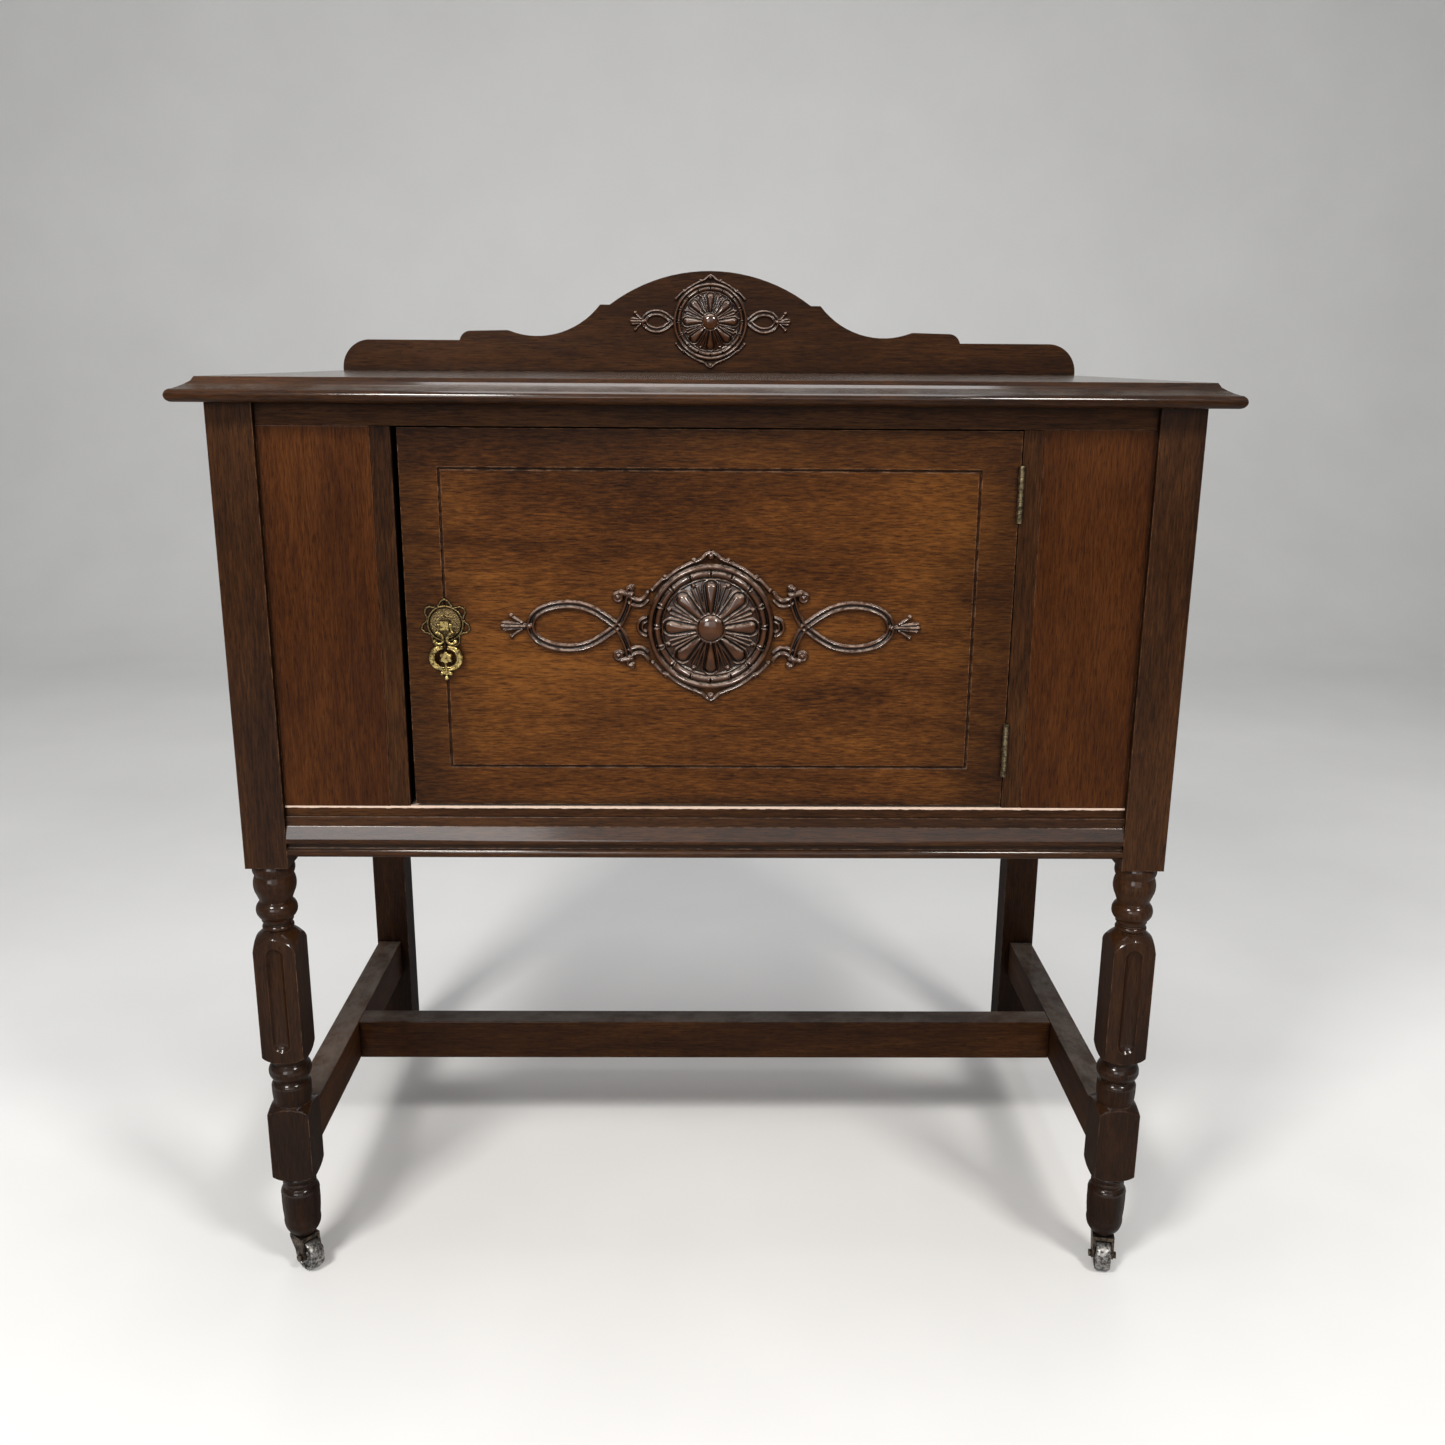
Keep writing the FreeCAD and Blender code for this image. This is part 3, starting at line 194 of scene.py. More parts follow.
def wood(name, axis, dark, mid, light, toning_and_painted_shade=None, gloss=0.2, film=0.1, wear=0.5, draw=14.0, lit_arris=None):
    """Stained wood under an old lacquer, its grain along one axis and its fibres drawn out along it.

    Toning_and_painted_shade gives a value that is 1 where the colour is darkened; a caller gives either a
    sprayed-on toning or a painted shade.
    Gloss is the lacquer's weight and film its roughness. Wear is how far the edges are rubbed.
    Lit_arris is the height of an upper edge that is rubbed bare in chips and carries a painted highlight.
    """
    material, tree, shader = new_material(name, Coat_Roughness=film, Specular_IOR_Level=0.06)
    mixed, fibres, pores = grain(tree, axis, draw)
    colour = ramp(tree, mixed, ((0.4, dark), (0.5, mid), (0.6, light)))
    colour = blend(tree, "MULTIPLY", 0.5, colour, pores)
    # Darker where the toning function gives 1: a sprayed-on toning on the door, painted shade towards the
    # feet on posts and uprights.
    if toning_and_painted_shade:
        darker = blend(tree, "MULTIPLY", 1.0, colour, (0.42, 0.42, 0.47, 1.0))
        colour = blend(tree, "MIX", toning_and_painted_shade(tree), colour, darker)
    # Painted shade: the colour darkened in recesses and close round raised parts, where shade falls.
    painted_recess_shade = between(tree, hollow(tree, 0.01), 0.35, 0.9, 0.15, 1.0)
    colour = blend(tree, "MULTIPLY", 1.0, colour, painted_recess_shade)
    patchy = between(tree, noise(tree, stretched(tree, axis, 1.5), 120.0, 5.0, 0.7), 0.42, 0.62)
    rubbed = calculate(tree, "MULTIPLY", edge_wear(tree, 0.0016, 0.8, 0.985), patchy)
    colour = blend(tree, "MIX", calculate(tree, "MULTIPLY", rubbed, wear), colour, (0.23, 0.12, 0.065, 1.0))
    side_on = calculate(tree, "ABSOLUTE", facing(tree)["X"])
    # Grey dust settled on upward faces; here the mask is dust only, with no painted highlight.
    upward = between(tree, facing(tree)["Z"], 0.9, 0.99)
    settled = between(tree, noise(tree, stretched(tree, axis, 1.5), 30.0, 6.0, 0.7), 0.35, 0.65, 0.1, 0.42)
    dust_and_painted_highlight = calculate(tree, "MULTIPLY", upward, settled)
    colour = blend(tree, "MIX", dust_and_painted_highlight, colour, (0.16, 0.145, 0.13, 1.0))
    if lit_arris:
        # Painted highlight along the upper arris: a pale, ragged line, partly the edge rubbed bare in chips
        # and partly the light it catches.
        chips = noise(tree, stretched(tree, axis, 4.0), 500.0, 4.0, 0.6)
        edge = calculate(tree, "ADD", axis_values(tree)["Z"], calculate(tree, "MULTIPLY", chips, 0.0022))
        chipped_highlight = between(tree, edge, lit_arris - 0.0012, lit_arris - 0.0006)
        colour = blend(tree, "MIX", calculate(tree, "MULTIPLY", chipped_highlight, 0.85), colour, (0.62, 0.47, 0.38, 1.0))
    tree.links.new(colour, shader["Base Color"])
    haze = noise(tree, stretched(tree, axis, 3.0), 60.0, 5.0, 0.65)
    dull = calculate(tree, "MAXIMUM", between(tree, haze, 0.3, 0.7, 0.34, 0.5),
                     between(tree, side_on, 0.6, 0.95, 0.3, 0.7))
    tree.links.new(dull, shader["Roughness"])
    polish = calculate(tree, "MULTIPLY", between(tree, facing(tree)["Z"], -0.05, 0.3, 0.12, 1.0),
                       between(tree, side_on, 0.55, 0.95, 1.0, 0.1))
    tree.links.new(calculate(tree, "MULTIPLY", polish, gloss), shader["Coat Weight"])
    height = calculate(tree, "ADD", calculate(tree, "MULTIPLY", fibres, 0.5), pores)
    tree.links.new(bump(tree, height, 0.00012, 0.6), shader["Normal"])
    ripple = noise(tree, stretched(tree, axis, 5.0), 300.0, 3.0, 0.6)
    tree.links.new(bump(tree, ripple, 0.00008, 0.5), shader["Coat Normal"])
    return material


def sprayed_edges(low, high, widths):
    """A toning along a panel's sides. Widths gives how far it reaches in from each (axis, side)."""
    def tone(tree):
        places = axis_values(tree)
        cloud = noise(tree, stretched(tree, X, 1.6), 9.0, 4.0, 0.6)
        shade = None
        for (axis, side), width in widths.items():
            edge = high[axis] if side > 0 else -low[axis]
            inward = calculate(tree, "SUBTRACT", edge, calculate(tree, "MULTIPLY", places[axis], side))
            ragged = calculate(tree, "SUBTRACT", inward, calculate(tree, "MULTIPLY", cloud, width))
            near = between(tree, ragged, -0.5 * width, 0.6 * width, 1.0, 0.0)
            shade = near if shade is None else calculate(tree, "MAXIMUM", shade, near)
        return shade
    return tone


def painted_shade_at_feet(tree):
    """A painted shade that deepens from the middle of the cabinet's height down to its feet."""
    return between(tree, axis_values(tree)["Z"], 0.15, 0.6, 0.95, 0.0)


def plain_wood(name, axis, dark, light):
    """Unfinished secondary wood, with painted shade in its recesses."""
    material, tree, shader = new_material(name, Specular_IOR_Level=0.25)
    fibres = noise(tree, stretched(tree, axis, 20.0), 240.0, 7.0, 0.7)
    rings = noise(tree, stretched(tree, axis, 9.0), 34.0, 3.0, 0.5, 1.0)
    mixed = calculate(tree, "ADD", calculate(tree, "MULTIPLY", fibres, 0.5),
                      calculate(tree, "MULTIPLY", rings, 0.5))
    colour = ramp(tree, mixed, ((0.38, dark), (0.62, light)))
    # Painted shade: the colour darkened in recesses and corners, where shade falls.
    painted_recess_shade = between(tree, hollow(tree, 0.05), 0.2, 0.9, 0.45, 1.0)
    tree.links.new(blend(tree, "MULTIPLY", 1.0, colour, painted_recess_shade), shader["Base Color"])
    tree.links.new(between(tree, fibres, 0.3, 0.7, 0.55, 0.75), shader["Roughness"])
    tree.links.new(bump(tree, fibres, 0.0003, 0.6), shader["Normal"])
    return material


def carved(name):
    """Dark glossy lacquer over a carving, with painted shade in its hollows and a patchy painted highlight on
    its upper slopes.
    """
    material, tree, shader = new_material(name, Coat_Roughness=0.12, Coat_IOR=1.6, Specular_IOR_Level=0.1)
    cloud = noise(tree, stretched(tree, X, 2.0), 90.0, 5.0, 0.6)
    colour = ramp(tree, cloud, ((0.35, (0.024, 0.0074, 0.002)), (0.65, (0.062, 0.021, 0.0062))))
    # Painted shade: the colour nearly black deep in the carving's hollows, where shade falls.
    painted_recess_shade = between(tree, hollow(tree, 0.006), 0.5, 0.95, 0.03, 1.0)
    colour = blend(tree, "MULTIPLY", 1.0, colour, painted_recess_shade)
    # Painted highlight: a patchy pale colour on the upward-facing slopes of the ridges, where light from
    # above catches them.
    patchy = between(tree, noise(tree, stretched(tree, X, 1.0), 220.0, 4.0, 0.6), 0.35, 0.62, 0.1, 0.75)
    dust_and_painted_highlight = calculate(tree, "MULTIPLY", patchy, between(tree, facing(tree)["Z"], 0.3, 0.75))
    colour = blend(tree, "MIX", dust_and_painted_highlight, colour, (0.36, 0.27, 0.22, 1.0))
    tree.links.new(colour, shader["Base Color"])
    tree.links.new(between(tree, cloud, 0.3, 0.7, 0.3, 0.45), shader["Roughness"])
    open_part = between(tree, hollow(tree, 0.004), 0.2, 0.6)
    polish = between(tree, facing(tree)["Z"], -0.15, 0.35, 0.12, 1.0)
    tree.links.new(calculate(tree, "MULTIPLY", open_part, polish), shader["Coat Weight"])
    fine = noise(tree, stretched(tree, X, 1.0), 900.0, 4.0, 0.6)
    tree.links.new(bump(tree, fine, 0.00015, 0.5), shader["Normal"])
    return material


def metal(name, dark, light, roughness, scale):
    """Old metal: a dark patina in its hollows and a lighter, smoother face where hands and floors rub it.

    Scale is how fine its mottling is.
    """
    material, tree, shader = new_material(name, Metallic=1.0)
    cloud = noise(tree, stretched(tree, X, 1.0), scale, 6.0, 0.65)
    open_part = between(tree, hollow(tree, 0.003), 0.55, 1.0)
    rubbed = edge_wear(tree, 0.0008, 0.7, 0.97)
    patina = calculate(tree, "MULTIPLY", between(tree, cloud, 0.35, 0.65), open_part)
    amount = calculate(tree, "MAXIMUM", patina, calculate(tree, "MULTIPLY", rubbed, 0.9))
    tree.links.new(ramp(tree, amount, ((0.0, dark), (0.8, light))), shader["Base Color"])
    tree.links.new(between(tree, amount, 0.0, 1.0, roughness + 0.22, roughness), shader["Roughness"])
    fine = noise(tree, stretched(tree, X, 1.0), scale * 12, 4.0, 0.6)
    tree.links.new(bump(tree, fine, 0.00008, 0.7), shader["Normal"])
    return material


# Mesh tools

def new_piece(name, vertices, faces, material, body, slot, stands_for=()):
    """A smooth-shaded mesh that rides on a CAD body."""
    mesh = bpy.data.meshes.new(name)
    mesh.from_pydata(vertices, [], faces)
    mesh.validate()
    mesh.shade_smooth()
    mesh.materials.append(material)
    piece = bpy.data.objects.new(name, mesh)
    bpy.context.scene.collection.objects.link(piece)
    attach(piece, body)
    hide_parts(*stands_for)
    return piece


def relief(name, centre, half_width, half_height, cell, height, two_sided, **rest):
    """A carving on an upright face: a fine grid whose height is a function of x and z from its centre.

    Everything but the centre is in millimetres. Two_sided mirrors it to the back, for a piece in the round.
    """
    xs = np.arange(-half_width, half_width + cell, cell)
    zs = np.arange(-half_height, half_height + cell, cell)
    x, z = np.meshgrid(xs, zs)
    rise = height(x, z)
    raised = rise > 0
    cells = raised[:-1, :-1] | raised[1:, :-1] | raised[:-1, 1:] | raised[1:, 1:]
    used = np.zeros(raised.shape, bool)
    for rows in (slice(None, -1), slice(1, None)):
        for columns in (slice(None, -1), slice(1, None)):
            used[rows, columns] |= cells
    number = np.full(raised.shape, -1)
    number[used] = np.arange(used.sum())
    sunk = np.where(raised, rise, 0.0 if two_sided else -0.15)[used]
    front = np.column_stack([x[used], -sunk, z[used]]) * MM + np.array(centre)
    row, column = np.nonzero(cells)
    corners = ((0, 0), (0, 1), (1, 1), (1, 0))
    faces = np.column_stack([number[row + up, column + right] for up, right in corners])
    vertices = front
    if two_sided:
        inner = sunk > 0
        back_number = np.arange(len(front))
        back_number[inner] = len(front) + np.arange(inner.sum())
        back = np.column_stack([x[used], sunk, z[used]])[inner] * MM + np.array(centre)
        vertices = np.vstack([front, back])
        faces = np.vstack([faces, back_number[faces][:, ::-1]])
    return new_piece(name, vertices.tolist(), faces.tolist(), **rest)


def ridge(distance, half_width, height):
    """A half-round moulding, from the distance to its middle line."""
    return height * np.sqrt(np.clip(1 - (distance / half_width) ** 2, 0, 1))


def to_point(x, z, point):
    """Distance from each grid point to one point."""
    return np.hypot(x - point[0], z - point[1])


def to_line(x, z, points):
    """Distance from each grid point to a run of straight segments."""
    best = np.full(x.shape, np.inf)
    for (ax, az), (bx, bz) in zip(points, points[1:]):
        dx, dz = bx - ax, bz - az
        t = np.clip(((x - ax) * dx + (z - az) * dz) / (dx * dx + dz * dz), 0, 1)
        best = np.minimum(best, np.hypot(x - ax - t * dx, z - az - t * dz))
    return best


def bezier(start, lead, follow, end, count=14):
    """Points along a cubic curve."""
    t = np.linspace(0, 1, count)[:, None]
    points = (np.array(start) * (1 - t) ** 3 + 3 * np.array(lead) * t * (1 - t) ** 2
              + 3 * np.array(follow) * t * t * (1 - t) + np.array(end) * t ** 3)
    return [tuple(p) for p in points]


def circle_arc(cx, cz, radius, start, end, count=16):
    """Points along an arc, its angles in degrees from +X towards +Z."""
    return [(cx + radius * math.cos(math.radians(a)), cz + radius * math.sin(math.radians(a)))
            for a in np.linspace(start, end, count)]


def drop_shape(x, z, near, near_radius, far, far_radius):
    """Depth inside a drop that runs from one round end to another of a different radius. Negative outside."""
    (ax, az), (bx, bz) = near, far
    dx, dz = bx - ax, bz - az
    t = np.clip(((x - ax) * dx + (z - az) * dz) / (dx * dx + dz * dz), 0, 1)
    return near_radius + (far_radius - near_radius) * t - np.hypot(x - ax - t * dx, z - az - t * dz)


def pillow(depth, half_width, height):
    """A rounded swelling, from the depth inside its outline."""
    return height * np.sqrt(np.clip(1 - (1 - np.clip(depth / half_width, 0, 1)) ** 2, 0, 1))


def highest(*heights):
    """The upper surface of several reliefs."""
    return np.maximum.reduce(heights)


# The carved ornaments

def wheel(x, z, k):
    """The round part of an ornament, k times the door ornament's size: hub, eight petals, ribs and rims."""
    hub, collar, fan_foot, fan_top = 11.6, 12.9, 13, 41.5
    inner_rim, dome_edge, rods, outer_rim, rod_half = 44.4, 45, 49.0, 55.2, 8.2
    r = np.hypot(x, z) / k
    angle = np.degrees(np.arctan2(z, x))
    petal_turn = np.radians((angle + 22.5) % 45 - 22.5)
    rib_turn = np.radians(angle % 45 - 22.5)
    rod_turn = np.radians(angle % 22.5 - 11.25)
    along, across = r * np.cos(petal_turn), np.abs(r * np.sin(petal_turn))
    petal = drop_shape(along, across, (14, 0), 1.7, (36.2, 0), 5.5)
    rib = np.abs(np.abs(r * np.sin(rib_turn)) - (0.9 + 0.06 * (r - fan_foot)))
    rib_knob = np.hypot(r * np.cos(rib_turn) - fan_top, r * np.sin(rib_turn))
    along_rod = np.abs(r * np.sin(rod_turn))
    gap = np.where(along_rod < rod_half, 0.0, 1.0)
    plate = 0.8 * (r < 56)
    boss = plate + 5.6 * np.clip(1 - (r / dome_edge) ** 2, 0, 1)
    return k * highest(
        boss,
        boss + pillow(petal, 3.6, 4.4),
        boss + ridge(np.abs(petal + 2.5), 0.9, 3.0) * (r > fan_foot) * (r < dome_edge),
        boss + ridge(rib, 1.0, 2.2) * (r > fan_foot) * (r < 40),
        boss + ridge(rib_knob, 2.2, 3.0),
        plate + ridge(r - inner_rim, 0.9, 2.6),
        plate + ridge(r - rods, 3.0, 4.4) * (1 - 0.8 * gap),
        plate + ridge(r - rods, 3.4, 5.2) * (np.abs(along_rod - rod_half) < 0.7),
        ridge(r - outer_rim, 2.7, 6.2),
        boss + ridge(r - collar, 1.3, 3.0),
        np.where(r < hub, boss + 2.4 + ridge(r, hub, 4.6), 0.0),
    )


def crest(x, z, k):
    """The pointed strips above and below the round part, with their steps and finials."""
    x, z = x / k, z / k
    strip = ([(0, 69), (4.5, 66.5), (8.5, 62.5)] + bezier((13, 60.4), (24, 57), (33, 51.5), (39.5, 45), 8)
             + [(44, 43.4), (49, 38.5), (53, 34)])
    return k * highest(
        ridge(to_line(x, z, strip), 1.6, 4.4),
        ridge(to_point(x, z, (0, 65.2)), 3.4, 5.2),
        ridge(to_point(x, z, (15.5, 61)), 2.2, 4.4),
        ridge(to_point(x, z, (41.5, 46)), 2.1, 4.4),
        ridge(to_point(x, z, (53.2, 33.8)), 2.2, 4.8),
    )


def double_band(distance, gap, half_width, height):
    """A strap with a raised line along each side."""
    return highest(ridge(np.abs(distance - gap), half_width, height), np.where(distance < gap, 1.0, 0.0))


def loop(x, z, start, end, rise):
    """One half of the long loop at an ornament's side, from where its lines cross to its outer end."""
    span = end - start
    peak = start + 0.56 * span
    inner = bezier((start, 0), (start + 0.2 * span, 0.62 * rise), (peak - 0.22 * span, rise), (peak, rise))
    outer = bezier((peak, rise), (peak + 0.2 * span, rise), (end - 1, 0.72 * rise), (end, 0))
    return double_band(to_line(x, z, inner + outer[1:]), 2.4, 1.45, 3.9)


def bud(x, z, start, end):
    """The closed bud at the outer end of a loop, with its two side curls."""
    length = end - start
    body = drop_shape(x, z, (start + 0.2 * length, 0), 2.2, (end - 5, 0), 5.0)
    groove = 0.75 + 0.25 * np.cos(2 * np.pi * z / (3.4 * (0.55 + 0.6 * (x - start) / length)))
    curl = [(start + 0.3 * length, 3), (start + 0.52 * length, 7), (end - 0.36 * length, 9.6)]
    return highest(
        pillow(body, 3.2, 4.6) * groove,
        ridge(to_point(x, z, (start + 1.5, 0)), 2.7, 4.6),
        ridge(to_line(x, z, curl), 1.3, 3.0),
        ridge(to_point(x, z, curl[-1]), 2.1, 3.8),
    )


def scroll(x, z, centre, radius):
    """A ball-like curl with one turn cut into it."""
    r = to_point(x, z, centre)
    return ridge(r, radius, 5.6) * (0.82 + 0.18 * np.cos(r / radius * 7.5))


def door_carving(x, z):
    """Heights of the door's ornament, in millimetres. It is the same on both sides and above and below."""
    x, z = np.abs(x), np.abs(z)
    strap = bezier((85.5, 0), (80, 8), (76, 17), (74.5, 26))
    cusp = bezier((57.5, 31.5), (61, 24), (67, 21.5), (74.5, 29))
    lower_cusp = bezier((57.5, 24), (62, 18), (68, 17.5), (74.5, 22))
    ear_centre = (58, 0)
    ear = to_point(x, z, ear_centre)
    outside = x > ear_centre[0]
    return highest(
        wheel(x, z, 1.0),
        crest(x, z, 1.0),
        double_band(to_line(x, z, strap), 2.2, 1.4, 4.2),
        ridge(to_line(x, z, cusp), 1.8, 4.8),
        ridge(to_line(x, z, lower_cusp), 1.5, 4.0),
        ridge(ear - 8.6, 1.5, 4.2) * outside,
        ridge(ear - 4.6, 1.4, 3.8) * outside,
        ridge(to_line(x, z, [(72.5, 29.5), (82, 31.5)]), 2.6, 5.0),
        scroll(x, z, (84.6, 27.2), 5.4),
        ridge(to_line(x, z, circle_arc(73.5, 33.4, 2.8, -60, 110)), 1.7, 4.8),
        scroll(x, z, (72.4, 36.2), 3.1),
        loop(x, z, 85.5, 165, 20.2),
        bud(x, z, 164, 192.6),
    )


def gallery_carving(x, z):
    """Heights of the gallery board's smaller ornament."""
    x, z = np.abs(x), np.abs(z)
    scale = 44.5 / 57.5
    return highest(
        wheel(x, z, scale),
        crest(x, z, scale),
        loop(x, z, 45.6, 79.5, 10.0) * 0.85,
        bud(x, z, 78.5, 97) * 0.85,
    )


# The door pull

def pull_plate_relief(x, z):
    """Heights of the pull's plate: a stippled disc in a wire ring, with seven wire loops round it."""
    r = np.hypot(x, z)
    rim = 16.0
    stipple = 0.24 * np.sin(3.9 * x + 1.3 * np.sin(2.3 * z)) * np.sin(4.3 * z + 1.7 * np.sin(1.9 * x))
    loops = np.zeros(x.shape)
    loop_count = 7
    for number in range(loop_count):
        turn = math.radians(90 + number * 360 / loop_count)
        out = x * math.cos(turn) + z * math.sin(turn)
        side = np.abs(-x * math.sin(turn) + z * math.cos(turn))
        wire = bezier((rim + 0.2, 6.4), (rim + 1.4, 4.4), (rim + 2.6, 5.0), (rim + 4.8, 3.4), 7)
        loops = highest(loops, ridge(to_line(out, side, wire + [(rim + 6.4, 0)]), 1.0, 1.9))
    return highest(
        np.where(r < rim - 1.6, 0.7 + 0.5 * (1 - (r / rim) ** 2) + stipple, 0.0),
        ridge(r - rim, 1.3, 2.4),
        ridge(r - rim + 2.2, 0.5, 1.3),
        loops,
    )


def pull_drop_relief(x, z):
    """Half thickness of the drop, measured from its pivot: eyes, hooks, crescents, star, stem and balls."""
    x = np.abs(x)
    hook = (bezier((7.2, -6.6), (2.2, -7.4), (0.6, -12.6), (2.6, -15.4), 9)
            + bezier((2.6, -15.4), (4.4, -17.8), (8.0, -17.4), (9.4, -14.6), 7)[1:])
    tail = bezier((9.0, -38.0), (6, -40.5), (2.5, -40.0), (1.4, -44.5))
    crescent_centre, outer, inner = (2.0, -30.0), 13.2, 8.4
    swell = to_point(x, z, crescent_centre)
    direction = np.degrees(np.arctan2(z - crescent_centre[1], x - crescent_centre[0]))
    width = 2.6 * np.clip(1 - (np.abs(direction + 2) / 98) ** 2.5, 0, 1)
    there = width > 0.3
    star_centre = (0, -30.0)
    star_angle = np.arctan2(x, z - star_centre[1])
    star_radius = 5.0 + 1.5 * np.abs(np.cos(3 * star_angle)) ** 3
    star = np.clip(star_radius - to_point(x, z, star_centre), 0, 1)
    return highest(
        ridge(to_point(x, z, (5.3, 0)), 2.3, 1.6),
        ridge(to_line(x, z, [(5.3, -1), (6.6, -6.4)]), 0.9, 0.9),
        ridge(to_line(x, z, hook), 1.25, 1.25),
        ridge(to_point(x, z, hook[0]), 1.9, 1.9),
        ridge(to_point(x, z, hook[-1]), 2.0, 1.9),
        ridge(swell - (outer + inner) / 2, np.maximum(width, 0.01), 1.5) * there,
        ridge(swell - inner - 0.4, 0.9, 1.9) * there,
        ridge(to_point(x, z, (4.4, -20.4)), 2.3, 1.9),
        star * 1.4,
        ridge(to_line(x, z, [(0, -33), (0, -47)]), 1.2, 1.1),
        ridge(to_line(x, z, tail), 1.2, 1.2),
        ridge(to_point(x, z, (3.8, -44.4)), 2.0, 1.7),
        ridge(to_point(x, z, (0, -48.6)), 2.2, 2.0),
    )


# Putting the looks on

# Each wood's dark, middle and light shade.
DARK = ((0.010, 0.0036, 0.0012), (0.028, 0.0098, 0.0028), (0.052, 0.0195, 0.0052))
PANEL = ((0.016, 0.0042, 0.0008), (0.038, 0.0105, 0.0018), (0.064, 0.0195, 0.0036))
DOOR = ((0.023, 0.0068, 0.0013), (0.068, 0.022, 0.0042), (0.137, 0.049, 0.009))

# How far the darker shade reaches in from each side of the door.
DOOR_TONING = {(X, -1): 0.08, (X, 1): 0.1, (Z, 1): 0.07, (Z, -1): 0.012}

MATERIALS = {
    "post": wood("wood_post", Z, *DARK, toning_and_painted_shade=painted_shade_at_feet, gloss=0.55, film=0.13),
    "upright": wood("wood_upright", Z, *DARK, toning_and_painted_shade=painted_shade_at_feet, gloss=0.12),
    "lengthwise": wood("wood_lengthwise", X, *DARK, gloss=0.15),
    "moulded": wood("wood_moulded", X, *DARK, gloss=0.75, wear=0.8, film=0.12),
    "rail": wood("wood_rail", X, *DARK, lit_arris=RAIL_TOP),
    "crosswise": wood("wood_crosswise", Y, *DARK, gloss=0.08),
    "panel": wood("wood_panel", Z, *PANEL),
    "door": wood("wood_door", X, *DOOR, toning_and_painted_shade=sprayed_edges(door_low, door_high, DOOR_TONING), wear=0.9,
                 draw=6.0),
    "inner": plain_wood("wood_inner", X, (0.12, 0.062, 0.03), (0.25, 0.145, 0.075)),
    "carving": carved("wood_carved"),
    "brass": metal("brass_antique", (0.026, 0.014, 0.004), (0.56, 0.42, 0.16), 0.22, 420.0),
    "patinated": metal("brass_patinated", (0.01, 0.006, 0.004), (0.24, 0.17, 0.075), 0.3, 900.0),
    "dull_brass": metal("brass_dull", (0.03, 0.022, 0.014), (0.2, 0.155, 0.09), 0.42, 300.0),
    "iron": metal("iron_dark", (0.02, 0.015, 0.012), (0.11, 0.085, 0.065), 0.45, 240.0),
    "tread": metal("steel_tread", (0.035, 0.032, 0.029), (0.3, 0.29, 0.28), 0.42, 300.0),
    "steel": metal("steel_plain", (0.16, 0.15, 0.14), (0.5, 0.49, 0.47), 0.35, 300.0),
}
LOOKS = {
    "post": ("post_front_",),
    "upright": ("post_rear_", "jamb_", "door_stop"),
    "lengthwise": ("gallery_board", "frieze_rail", "centre_stretcher"),
    "moulded": ("top_board", "base_moulding"),
    "rail": ("lower_rail",),
    "crosswise": ("side_rail_", "side_stretcher_"),
    "panel": ("front_panel_", "side_panel_"),
    "door": ("door_panel",),
    "inner": ("rear_rail_", "back_panel", "bottom_board", "shelf", "bottom_cleats", "glue_blocks"),
    "carving": ("door_ornament", "gallery_ornament"),
    "brass": ("pull_plate", "pull_post", "pull_drop"),
    "dull_brass": ("hinge_leaves_", "hinge_pins"),
    "iron": ("caster_fork_", "caster_axle_", "caster_sockets"),
    "tread": ("caster_wheel_",),
    "steel": ("hinge_screws_", "top_screws", "pull_nut", "catch_"),
}

# The width of the rounded edges, on metal and on wood.
METALS = ("brass", "dull_brass", "iron", "tread", "steel")
METAL_EDGE, WOOD_EDGE = 0.4 * MM, 0.8 * MM


def dress_cad_nodes():
    """Gives every CAD node its material, welds its coincident corners and slightly rounds its edges."""
    for look, starts in LOOKS.items():
        for name, piece in frame["nodes"].items():
            if not name.startswith(starts):
                continue
            piece.data.materials.clear()
            piece.data.materials.append(MATERIALS[look])
            weld = piece.modifiers.new("join_corners", "WELD")
            weld.merge_threshold = 0.01 * MM
            soften = piece.modifiers.new("soften_edges", "BEVEL")
            soften.width = METAL_EDGE if look in METALS else WOOD_EDGE
            soften.segments = 2
            soften.limit_method = "ANGLE"
            soften.angle_limit = math.radians(40)
            soften.use_clamp_overlap = True


def add_carvings():
    """The two ornaments, the pull's plate and its drop."""
    door_centre = middle("door_ornament")
    gallery_centre = middle("gallery_ornament")
    plate_centre = middle("pull_plate")
    pivot = next(Vector(joint["pos_m"]) for joint in frame["joints"] if joint["name"] == "pull_swing")
    relief("door_carving", (door_centre.x, DOOR_FACE, door_centre.z), 193, 70, 0.5,
           door_carving, two_sided=False, material=MATERIALS["carving"], body="door", slot="carving",
           stands_for=("door_ornament",))
    relief("gallery_carving", (gallery_centre.x, GALLERY_FACE, gallery_centre.z), 100, 56, 0.5,
           gallery_carving, two_sided=False, material=MATERIALS["carving"], body="root", slot="carving",
           stands_for=("gallery_ornament",))
    relief("pull_rosette", (plate_centre.x, DOOR_FACE, plate_centre.z), 24, 24, 0.22,
           pull_plate_relief, two_sided=False, material=MATERIALS["patinated"], body="door",
           slot="aged_brass", stands_for=("pull_plate",))
    relief("pull_pendant", tuple(pivot), 16, 52, 0.25,
           pull_drop_relief, two_sided=True, material=MATERIALS["brass"], body="pull", slot="aged_brass",
           stands_for=("pull_drop",))


# Floor, light and camera

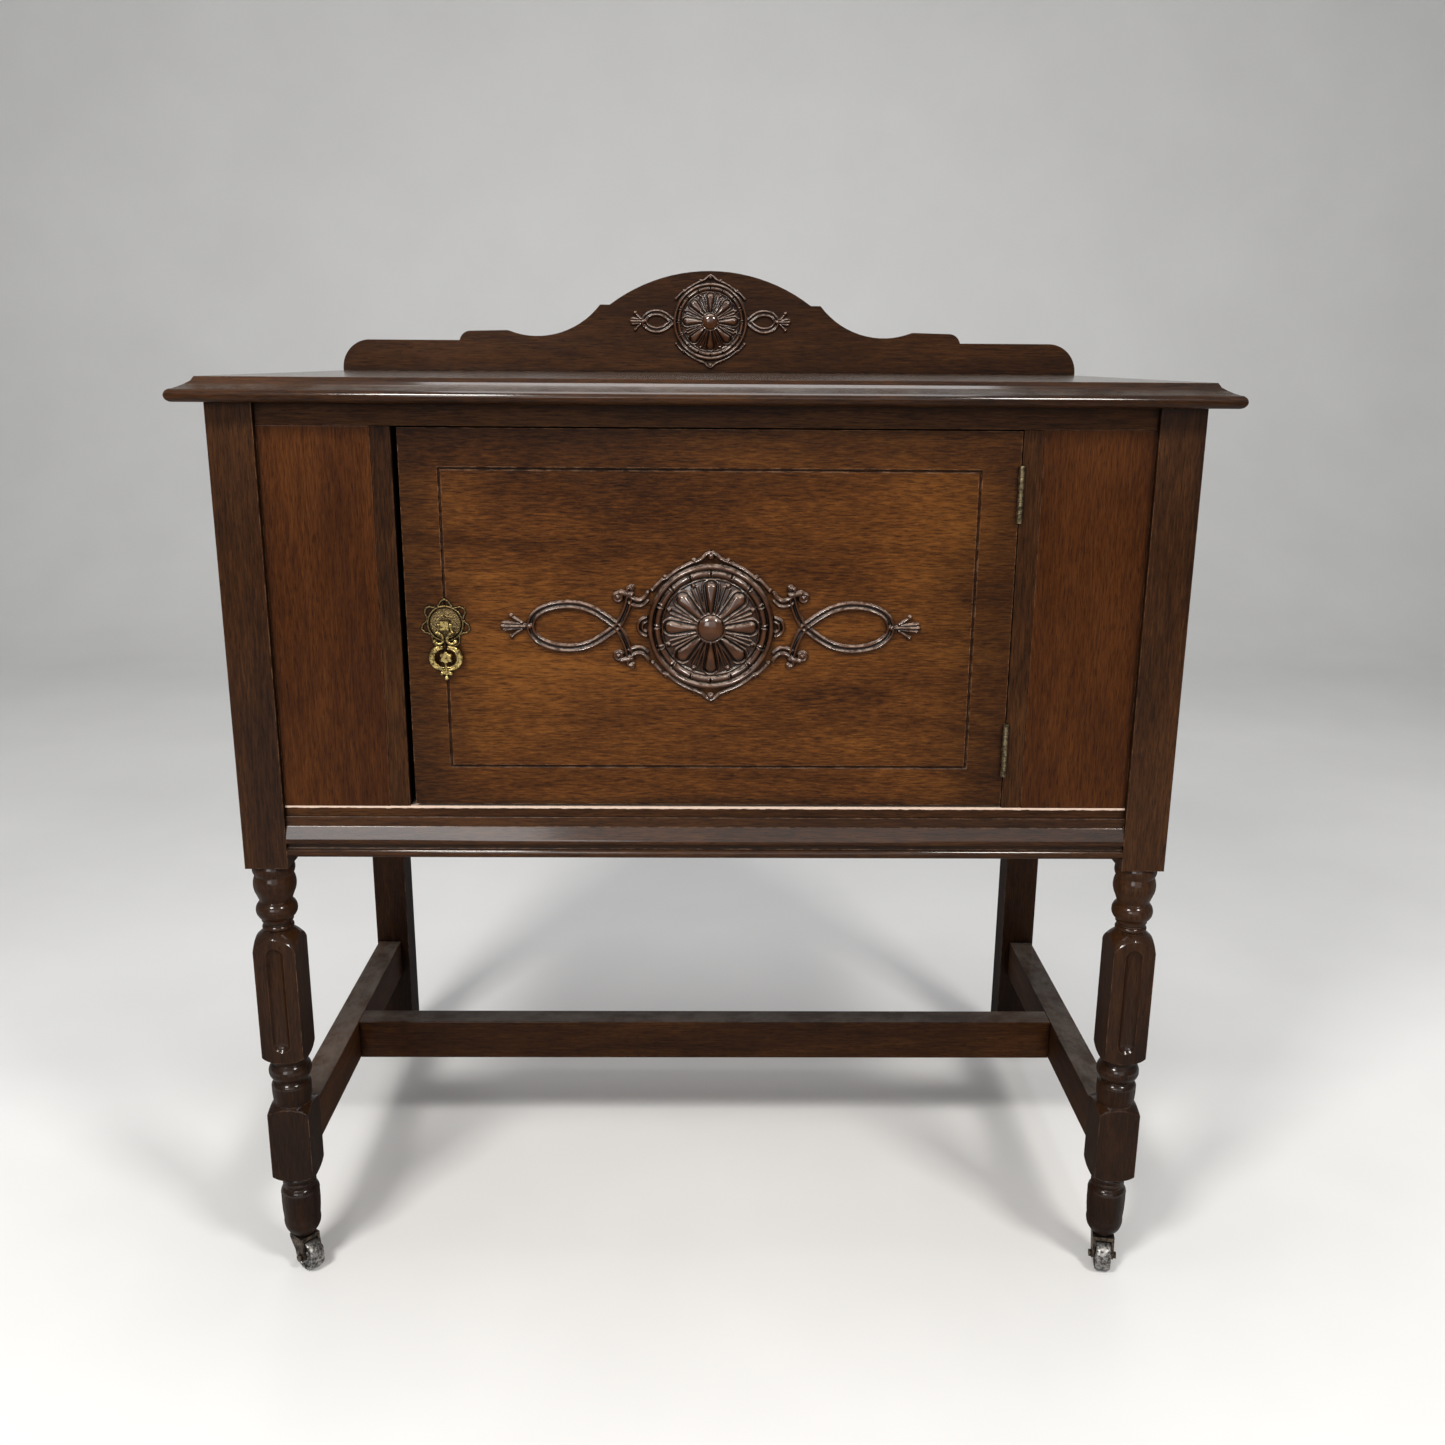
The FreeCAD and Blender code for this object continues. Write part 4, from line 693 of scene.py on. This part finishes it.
def add_floor():
    """A plain pale floor that curves up into a backdrop far behind the cabinet."""
    turn_radius, behind, height, half = 1.2, 2.6, 4.0, 9.0
    profile = [(-8.0, 0.0)] + [
        (behind + turn_radius * math.sin(a), turn_radius * (1 - math.cos(a)))
        for a in np.linspace(0, math.pi / 2, 24)
    ] + [(behind + turn_radius, height)]
    vertices = [(x, y, z) for y, z in profile for x in (-half, half)]
    faces = [(2 * i, 2 * i + 1, 2 * i + 3, 2 * i + 2) for i in range(len(profile) - 1)]
    mesh = bpy.data.meshes.new("floor")
    mesh.from_pydata(vertices, [], faces)
    mesh.shade_smooth()
    material, tree, shader = new_material("floor_plain", Specular_IOR_Level=0.3)
    cloud = noise(tree, node(tree, "TexCoord").outputs["Object"], 3.0, 3.0)
    tree.links.new(ramp(tree, cloud, ((0.3, 0.74), (0.7, 0.78))), shader["Base Color"])
    tree.links.new(between(tree, cloud, 0.3, 0.7, 0.55, 0.65), shader["Roughness"])
    mesh.materials.append(material)
    floor = bpy.data.objects.new("floor", mesh)
    bpy.context.scene.collection.objects.link(floor)


def add_lamp(name, place, aim, size, power, colour=(1.0, 1.0, 1.0)):
    """A square soft lamp turned towards a point."""
    light = bpy.data.lights.new(name, "AREA")
    light.size = size
    light.energy = power
    light.color = colour
    lamp = bpy.data.objects.new(name, light)
    lamp.location = place
    lamp.rotation_mode = "QUATERNION"
    lamp.rotation_quaternion = (Vector(aim) - Vector(place)).to_track_quat("-Z", "Y")
    bpy.context.scene.collection.objects.link(lamp)


def add_light():
    """Soft light from high in front on both sides, a window and a pale wall in front, and a pale surround."""
    warm = (1.0, 0.97, 0.92)
    add_lamp("key", (-1.1, -1.9, 2.5), (0, 0, 0.6), 0.6, 60, warm)
    add_lamp("fill", (1.3, -1.7, 2.4), (0, 0, 0.6), 0.5, 40, warm)
    add_lamp("window", (-1.1, -3.4, 1.55), (0, 0, 0.7), 1.2, 28)
    add_lamp("wall_glow", (0.6, -4.4, 1.7), (0, 0, 0.7), 2.6, 24)
    add_lamp("top", (0.0, 0.3, 2.9), (0, 0.2, 0.5), 1.6, 36)
    world = bpy.data.worlds.new("surround")
    world.use_nodes = True
    background = world.node_tree.nodes["Background"]
    background.inputs["Color"].default_value = (0.9, 0.92, 0.94, 1.0)
    background.inputs["Strength"].default_value = 0.22
    bpy.context.scene.world = world


def add_camera():
    """The camera at the photograph's viewing angle."""
    yaw, pitch, roll = 0.0119, 0.2623, 0.0071
    ahead = Vector((math.sin(yaw) * math.cos(pitch), math.cos(yaw) * math.cos(pitch), -math.sin(pitch)))
    level = Vector((math.cos(yaw), -math.sin(yaw), 0))
    upright = level.cross(ahead)
    right = level * math.cos(roll) + upright * math.sin(roll)
    up = upright * math.cos(roll) - level * math.sin(roll)
    data = bpy.data.cameras.new("camera")
    data.sensor_width = 36.0
    data.lens = 33.93
    camera = bpy.data.objects.new("camera", data)
    turn = Matrix((right, up, -ahead)).transposed()
    camera.matrix_world = Matrix.Translation((0.0, POST_FRONT - 1.22298, 0.92505)) @ turn.to_4x4()
    bpy.context.scene.collection.objects.link(camera)
    bpy.context.scene.camera = camera


dress_cad_nodes()
add_carvings()
add_floor()
add_light()
add_camera()
bpy.context.scene.view_settings.view_transform = "Standard"
